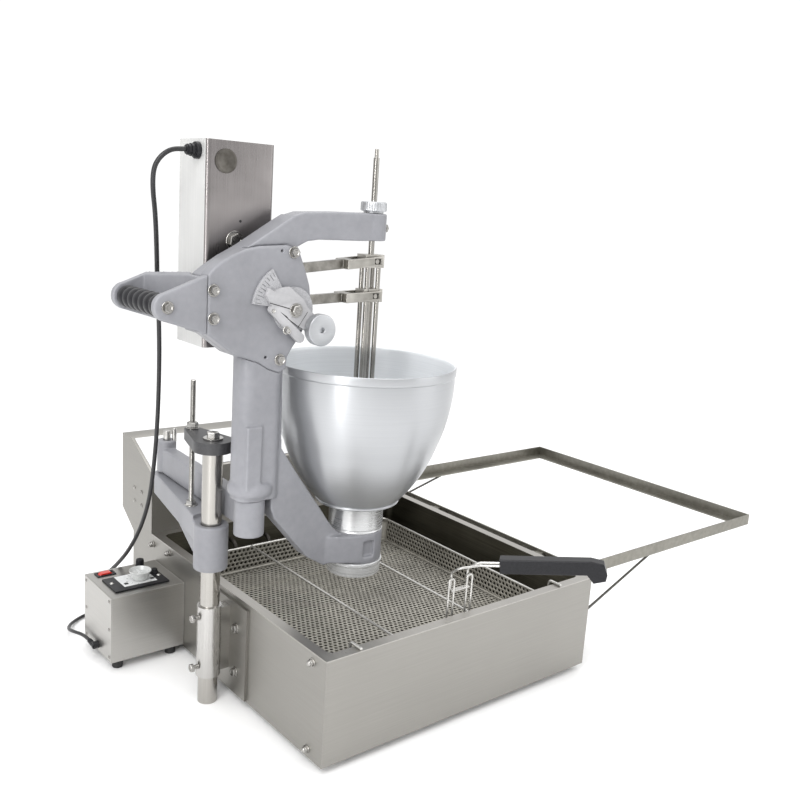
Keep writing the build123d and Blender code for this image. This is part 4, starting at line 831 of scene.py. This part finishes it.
def perforated(origin, u_dir, v_dir, u_len, v_len, work, cache):
    """Sheet with staggered round holes in a rectangle given by its corner and two directions, in mm."""
    across = max(1, int(round(u_len / PITCH)))
    up = max(1, int(round(v_len / ROW)))
    du = u_len / across
    dv = v_len / up
    radius = min(HOLE_R, HOLE_SHARE * du, HOLE_SHARE * dv)

    def vertex(u, v):
        point = Vector(origin) + u_dir * u + v_dir * v
        key = (round(point.x, 3), round(point.y, 3), round(point.z, 3))
        if key not in cache:
            cache[key] = work.verts.new(W(*point))
        return cache[key]

    for j in range(up):
        cv = (j + 0.5) * dv
        shift = 0.5 if j % 2 else 0.0
        for i in range(across - (j % 2)):
            cu = (i + 0.5 + shift) * du
            outer = [vertex(cu + a * du / 2, cv + b * dv / 2) for a, b in CELL]
            inner = []
            for k in range(HOLE_SIDES):
                angle = 2 * math.pi * k / HOLE_SIDES
                inner.append(vertex(cu + radius * math.cos(angle), cv + radius * math.sin(angle)))
            for k in range(HOLE_SIDES):
                n = (k + 1) % HOLE_SIDES
                work.faces.new((outer[k], outer[n], inner[n], inner[k]))
        if j % 2:
            for u in (0.0, u_len - du / 2):
                end = u + du / 2
                low = cv - dv / 2
                top = cv + dv / 2
                corners = ((u, low), (end, low), (end, cv), (end, top), (u, top), (u, cv))
                work.faces.new([vertex(*corner) for corner in corners])


def strip(rows, work):
    """Plain sheet through rows of points, in mm."""
    made = [[work.verts.new(W(*p)) for p in row] for row in rows]
    for one, two in zip(made, made[1:]):
        for a, b, c, d in zip(one, one[1:], two[1:], two):
            work.faces.new((a, b, c, d))


basket = bmesh.new()
cache = {}
X, Y, Z = Vector(RIGHT), Vector(BACK), Vector(UP)
bx0, bx1, by0, by1 = BASKET
floor_w = bx1 - bx0 - 2 * CORNER
floor_d = by1 - by0 - 2 * CORNER
edge_w = CORNER - BEND
wall_h = RIM_Z - FLOOR_Z - BEND
perforated((bx0 + CORNER, by0 + CORNER, FLOOR_Z), X, Y, floor_w, floor_d, basket, cache)
for y in (by0 + BEND, by1 - CORNER):
    perforated((bx0 + CORNER, y, FLOOR_Z), X, Y, floor_w, edge_w, basket, cache)
for x in (bx0 + BEND, bx1 - CORNER):
    perforated((x, by0 + CORNER, FLOOR_Z), Y, X, floor_d, edge_w, basket, cache)
for y in (by0, by1):
    perforated((bx0 + CORNER, y, FLOOR_Z + BEND), X, Z, floor_w, wall_h, basket, cache)
for x in (bx0, bx1):
    perforated((x, by0 + CORNER, FLOOR_Z + BEND), Y, Z, floor_d, wall_h, basket, cache)
quarter_steps = [math.pi / 2 * k / 4 for k in range(5)]
bend_rows = [(BEND * math.sin(a), FLOOR_Z + BEND - BEND * math.cos(a)) for a in quarter_steps]
for sign, edge in ((-1, bx0 + BEND), (1, bx1 - BEND)):
    strip([[(edge + sign * out, y, z) for out, z in bend_rows] for y in (by0 + CORNER, by1 - CORNER)], basket)
for sign, edge in ((-1, by0 + BEND), (1, by1 - BEND)):
    strip([[(x, edge + sign * out, z) for out, z in bend_rows] for x in (bx0 + CORNER, bx1 - CORNER)], basket)
corner_rows = [(0.0, FLOOR_Z)] + [(edge_w + out, z) for out, z in bend_rows] + [(CORNER, RIM_Z)]
for sign_x, cx in ((-1, bx0 + CORNER), (1, bx1 - CORNER)):
    for sign_y, cy in ((-1, by0 + CORNER), (1, by1 - CORNER)):
        rows = []
        for b in quarter_steps:
            aside, along = sign_x * math.cos(b), sign_y * math.sin(b)
            rows.append([(cx + aside * reach, cy + along * reach, z) for reach, z in corner_rows])
        strip(rows, basket)
bmesh.ops.remove_doubles(basket, verts=basket.verts, dist=1e-5)
basket_obj = place("fry_basket_mesh", basket, "basket", "basket_steel", 40)
thick = basket_obj.modifiers.new("thick", "SOLIDIFY")
thick.thickness = SHEET * MM
thick.offset = -1.0
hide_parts("fry_basket")

# Fasteners of the head
COVER_FACE = -27.0
CASE_BOLTS = ((-88, 729), (-87, 687), (30, 619), (49, 787))
bolt_shapes = []
for s, z in CASE_BOLTS:
    bolt_shapes += bolt(H(s, COVER_FACE, z), FRONT, 13, 6.4, 0.3 + s, 9.5, 1.6)
bolt_shapes += bolt(H(50, -37.8, 698), FRONT, 16, 5.2, 0.2, 11.5, 1.4)
bolt_shapes += bolt(H(GRIP[0], COVER_FACE, GRIP[1]), FRONT, 13, 5, 0.5, 9.5, 1.4)
bolt_shapes += bolt(H(GRIP[0], 130, GRIP[1]), BACK, 13, 5, 0.1, 9.5, 1.4)
bolt_shapes += bolt(W(BOWL[0] + 22.6, BOWL[1], 829), RIGHT, 13, 7, 0.0, 9, 1.2, 0.4)
bolt_shapes += bolt(H(-10, 54, 797), FRONT, 22, 8, 0.4, 16, 1.6, 0.0)
head_bolts = place("head_bolts", gather(*bolt_shapes), "head", "bolt_steel", 30)
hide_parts("case_bolts")

# Cap fasteners and threaded lift rod
CAP_TOP = 473.0
cap_shapes = bolt(W(*POST, CAP_TOP), UP, 19, 9, 0.2, 16.5, 3.0)
cap_shapes += bolt(W(*ROD, CAP_TOP), UP, 17, 9.5, 0.5, 11.0, 1.8)
cap_bolts = place("cap_bolts", gather(*cap_shapes), "cap", "bright_steel", 30)
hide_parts("cap_fasteners")
THREAD_PITCH = 1.5
THREAD_FROM, THREAD_TO = 305.5, 556.5
THREAD_ROOT, THREAD_CREST = 4.3, 4.95
thread = [(0, 305), (4.2, 305)]
height = THREAD_FROM
while height < THREAD_TO:
    thread += [(THREAD_ROOT, height), (THREAD_CREST, height + THREAD_PITCH / 2)]
    height += THREAD_PITCH
thread += [(4.2, 557.2), (3.4, 558), (0, 558)]
rod_shapes = [turned(thread, W(*ROD, 0), UP, 28), *bolt(W(*ROD, 334.9), UP, 17, 9, 0.1, 11.5, 1.6, 0.1)]
lift_rod = place("lift_rod_thread", gather(*rod_shapes), "arm_one", "bright_steel", 50)
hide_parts("lift_rod")

# Ribbed swing grip
RIB = 18.7
RIBS_FROM = -13.5
RIBS = 7
RIB_ROWS = ((0.0, 13.6), (0.08, 15.4), (0.22, 17.0), (0.4, 17.5), (0.6, 17.5), (0.78, 17.0), (0.92, 15.4))
grip_rows = [(4.1, -15), (14, -15), (15.5, -14)]
for i in range(RIBS):
    grip_rows += [(radius, RIBS_FROM + RIB * i + RIB * share) for share, radius in RIB_ROWS]
grip_rows += [(15.5, 117), (14, 118), (4.1, 118)]
grip_shape = turned(grip_rows, H(GRIP[0], 0, GRIP[1]), BACK, 64, True)
grip = place("swing_grip_ribs", grip_shape, "head", "black_plastic", 60)
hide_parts("swing_grip")

# Lever knob and thumb nut
knob_rows = [(0, -6.2), (5, -6.2), (5, 0.4), (25.0, 0.4), (25.5, 1.0), (25.5, 13.6), (24.8, 14.8),
             (23.6, 15.2), (9.0, 15.2), (5.0, 14.6), (4.4, 14.0), (4.4, 9.0), (0, 9.0)]
knob_shape = turned(knob_rows, H(92, -37.8, 667), FRONT, 96)
lever_knob = place("lever_knob_disc", knob_shape, "lever_wheel", "bowl_alloy", 30)
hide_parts("lever_knob")
NUT_KNURL = (36, 0.7, 857.8, 869.2)
nut_rows = [(5.05, 816), (8, 816), (8, 853.4), (16.4, 853.4), (17, 854), (17, 856), (21.0, 856.2),
            (22, 857.4), (22, 858), (22, 869), (21.4, 870.8), (20.2, 872), (9, 872), (7.5, 871),
            (5.05, 870.4)]
nut_shape = turned(nut_rows, bowl_axis, UP, 144, True, NUT_KNURL)
thumb_nut = place("thumb_nut_knurled", nut_shape, "guide_nut", "lever_alloy")
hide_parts("thumb_nut")

# Fasteners of the walls: domed nuts, bracket bolts, sleeve screws and small pan screws
DOME_ROWS = [(4.8, 4.6), (4.7, 6.2), (4.1, 7.8), (2.9, 9.0), (1.4, 9.5), (0, 9.6)]
SHANK_ROWS = [(0, 0), (4, 0), (4, 11.4), (0, 11.4)]
HEAD_PAN = [(4, 0), (4, 0.7), (3.2, 1.5), (1.6, 1.8), (1.3, 1.2), (0, 1.2)]
CASE_PAN = [(3.25, 0), (3.25, 0.6), (2.6, 1.3), (1.2, 1.6), (1.0, 1.0), (0, 1.0)]
WALL_NUTS = ((37, 177), (41, 27), (608, 174), (536, 180))
HEAD_SCREWS = [(y, z) for z in (239, 267) for y in (664, 700)]
SIDES = ((0, LEFT), (TANK_W, RIGHT))
wall_shapes = []
for y, z in WALL_NUTS:
    for x, axis in SIDES:
        wall_shapes += bolt(W(x, y, z), axis, 11, 5, 0.3, 7.5, 1.0, 0.0)
        wall_shapes.append(turned(DOME_ROWS, W(x, y, z), axis, 24))
for y in (262, 326):
    for z in (58, 140):
        wall_shapes += bolt(W(-5, y, z), LEFT, 13, 5, 0.1 * y, 9.5, 1.4)
        wall_shapes.append(hex_head(W(2, y, z), RIGHT, 13, 6, 0.2))
for z in (69, 160):
    wall_shapes += [turned(SHANK_ROWS, W(-57, 294, z), LEFT, 24), hex_head(W(-68, 294, z), LEFT, 13, 6, 0.4)]
for y, z in HEAD_SCREWS:
    wall_shapes += [turned(HEAD_PAN, W(x, y, z), axis, 24) for x, axis in SIDES]
for y in (477, 588):
    wall_shapes += [turned(CASE_PAN, W(-143, y, z), LEFT, 24) for z in (27, 81.5, 136)]
wall_bolts = place("wall_bolts", gather(*wall_shapes), "base", "bolt_steel")
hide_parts("wall_fasteners")

# Glands: ribbed tapered strain reliefs, each rib with a groove after it
BOOT_ROWS = ((0.0, 1.0), (0.55, 1.0), (0.6, 0.84), (0.97, 0.84))


def boot(length, big, small, cord_r, ribs=4):
    """Rows (radius, height) of a ribbed sleeve that tapers from big to small."""
    rows = [(0, 0), (big, 0)]
    for i in range(ribs):
        share = i / ribs
        r = big + (small - big) * share
        rows += [(r * thin, length * (share + at / ribs)) for at, thin in BOOT_ROWS]
    rows += [(small, length - 0.2), (small - 0.8, length), (cord_r + 0.05, length)]
    return rows


motor_foot = H(-62, 81, 931)
case_foot = W(-75, 597, 40)
motor_shapes = [turned([(0, 0), (13, 0), (13, 5.6), (12.2, 6.8), (9, 7)], motor_foot, LEFT, 40),
                turned(boot(21, 12.4, 7.0, MOTOR_CORD_R), motor_foot, LEFT, 40)]
motor_boot = place("motor_gland_boot", gather(*motor_shapes), "head", "black_plastic")
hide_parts("motor_gland")
back_shapes = [turned([(0, 0), (10, 0), (10, 5.8), (9.2, 6.8), (7, 7)], case_foot, BACK, 40),
               turned(boot(20, 7.4, 5.2, MOTOR_CORD_R), case_foot, BACK, 40),
               turned([(0, 0), (6.8, 0), (7, 0.6), (7, 9.5), (6.2, 11), (0, 11)], W(-143, 530, 30), LEFT, 40),
               turned([(5.2, -5.5)] + boot(22, 5.0, 4.4, LEAD_R)[1:], W(-151, 530, 30), BACK, 40)]
back_boots = place("controller_boots", gather(*back_shapes), "base", "black_plastic")
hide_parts("controller_glands")

# Speed knob: a clear dish with a pointer
SPEED = (-66.0, 519.0)
speed_rows = [(0, 148.8), (13.6, 148.8), (14.4, 149.4), (15.4, 153), (19.6, 163.6), (20.6, 165.4),
              (20.4, 166), (19.6, 166), (18.6, 164.8), (16.6, 160.6), (15.4, 159.4), (6, 159), (5, 160.6),
              (4.2, 161), (0, 161)]
speed_shape = turned(speed_rows, W(*SPEED, 0), UP, 96)
speed_knob = place("speed_knob_turned", speed_shape, "speed_dial", "clear_grey", 40)
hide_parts("speed_knob")
pointer_shapes = [box_shape(-67.2, -64.8, 520, 534.4, 159.2, 161.4),
                  box_shape(-70, -62, 517.8, 520.2, 160.4, 161.6)]
place("speed_pointer", gather(*pointer_shapes), "speed_dial", "print_white", 30)


# Controller top: scale plate with ticks round the knob, a fuse cap, a trimmer and screws
def spoke(angle, inner, outer, width, z0, z1):
    """Short radial tick round the speed knob."""
    along = Vector((math.cos(angle), math.sin(angle), 0))
    aside = Vector((-along.y, along.x, 0)) * (width / 2)
    middle = Vector((*SPEED, 0))
    corners = ((inner, -1), (outer, -1), (outer, 1), (inner, 1))
    plan = [middle + along * r + aside * side for r, side in corners]
    return prism([W(p.x, p.y, z0) for p in plan], [W(p.x, p.y, z1) for p in plan])


scale_plate = box_shape(-105, -41, 498, 549, 147.8, 148.3)
place("controller_scale", scale_plate, "base", "print_white", 30)
TICK_IN = 22.0
tick_shapes = []
for a in range(-60, 241, 30):
    tick_end = TICK_IN + (3.0 if a % 60 else 5.0)
    tick_shapes.append(spoke(math.radians(a), TICK_IN, tick_end, 0.7, 148.2, 148.5))
tick_shapes += [box_shape(x, x + 7, 506.5, 513.5, 148.2, 148.9) for x in (-100.5, -49.5)]
place("scale_ticks", gather(*tick_shapes), "base", "print_and_shade_black", 30)
FUSE_KNURL = (20, 0.4, 147.4, 158.2)
fuse_rows = [(0, 145), (8.5, 145), (8.5, 147), (7.8, 147.4), (7.8, 158), (7.0, 160.4), (5.4, 161), (0, 161)]
trim_rows = [(0, 148), (7.6, 148), (7.6, 149.6), (6.2, 152), (5.6, 155.4), (4.8, 156), (0, 156)]
fuse_shapes = [turned(fuse_rows, W(-40, 580, 0), UP, 40, False, FUSE_KNURL),
               turned(trim_rows, W(-31, 534, 0), UP, 40)]
place("fuse_cap", gather(*fuse_shapes), "base", "black_plastic", 40)
PLATE_SCREW = [(0, 148), (4.0, 148), (3.9, 148.8), (3.0, 149.8), (1.5, 150.2), (0, 150.2)]
screw_shapes = [turned(PLATE_SCREW, W(x, y, 0), UP, 28) for x, y in ((-119, 524), (-29, 519))]
place("plate_screws", gather(*screw_shapes), "base", "bright_steel", 40)

# Motor box: a plain blanking plug in its upper hole, and a black disc of painted shade for a small open hole
BOX_FACE = 54.0
plug_rows = [(0, 0), (17.5, 0), (18.5, 0.5), (18.5, 1.4), (17.4, 2.0), (13.4, 2.0), (12.6, 1.5), (0, 1.5)]
place("blank_plug", turned(plug_rows, H(-29, BOX_FACE, 918), FRONT), "head", "rubbed_steel")
hole_shade_rows = [(0, 0), (2.2, 0), (2.2, 0.3), (0, 0.3)]
hole_shade_shape = turned(hole_shade_rows, H(-1, BOX_FACE, 828), FRONT, 20)
place("box_hole_shade", hole_shade_shape, "head", "print_and_shade_black", 30)

# Second stud beside the elbow pin
stud_rows = [(0, 398), (4.4, 398), (4.4, 422), (3.6, 423.4), (0, 423.4)]
place("elbow_stud", turned(stud_rows, W(19, 559, 0), UP, 28), "arm_two", "bright_steel", 40)

# Dial and lever: rim ticks, the slit of the pointer drawn as black bars of painted shade, and small screws
DIAL = (50.0, 698.0)
DIAL_FACE = -31.0
DIAL_EDGE = 71
LEVER_FACE = -37.4
LEVER_BODY = nodes["size_lever"]["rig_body"]


def bar(a, b, width, d0, d1):
    """Straight bar from a to b in the head's side plane, between two depths."""
    one, two = Vector(a), Vector(b)
    along = (two - one).normalized()
    aside = Vector((-along.y, along.x)) * (width / 2)
    flat = [one + aside, one - aside, two - aside, two + aside]
    return prism([H(p.x, d0, p.y) for p in flat], [H(p.x, d1, p.y) for p in flat])


def on_dial(angle, radius):
    turn_by = math.radians(angle)
    return (DIAL[0] + radius * math.cos(turn_by), DIAL[1] + radius * math.sin(turn_by))


dial_ticks = []
for a in range(125, 171, 5):
    inner = 64 if a % 10 else 59
    dial_ticks.append(bar(on_dial(a, inner), on_dial(a, DIAL_EDGE), 0.8, DIAL_FACE - 0.3, DIAL_FACE + 0.4))
place("dial_marks", gather(*dial_ticks), "head", "tick_grey", 30)
# Black bars on the lever: painted shade for the slit
slit_shade_lines = [bar((2, 710.5), (38, 701), 1.3, LEVER_FACE - 0.25, LEVER_FACE + 0.3),
               bar((72, 695), (55, 671), 0.9, LEVER_FACE - 0.2, LEVER_FACE + 0.3)]
place("lever_slit_shade", gather(*slit_shade_lines), LEVER_BODY, "print_and_shade_black", 30)
lever_shapes = bolt(H(34, LEVER_FACE, 667), FRONT, 9, 7, 0.3, 6.5, 1.0, 0.0)
lever_shapes.append(hex_head(H(9, LEVER_FACE, 698), FRONT, 6, 2.4, 0.1))
place("lever_screws", gather(*lever_shapes), LEVER_BODY, "bright_steel")
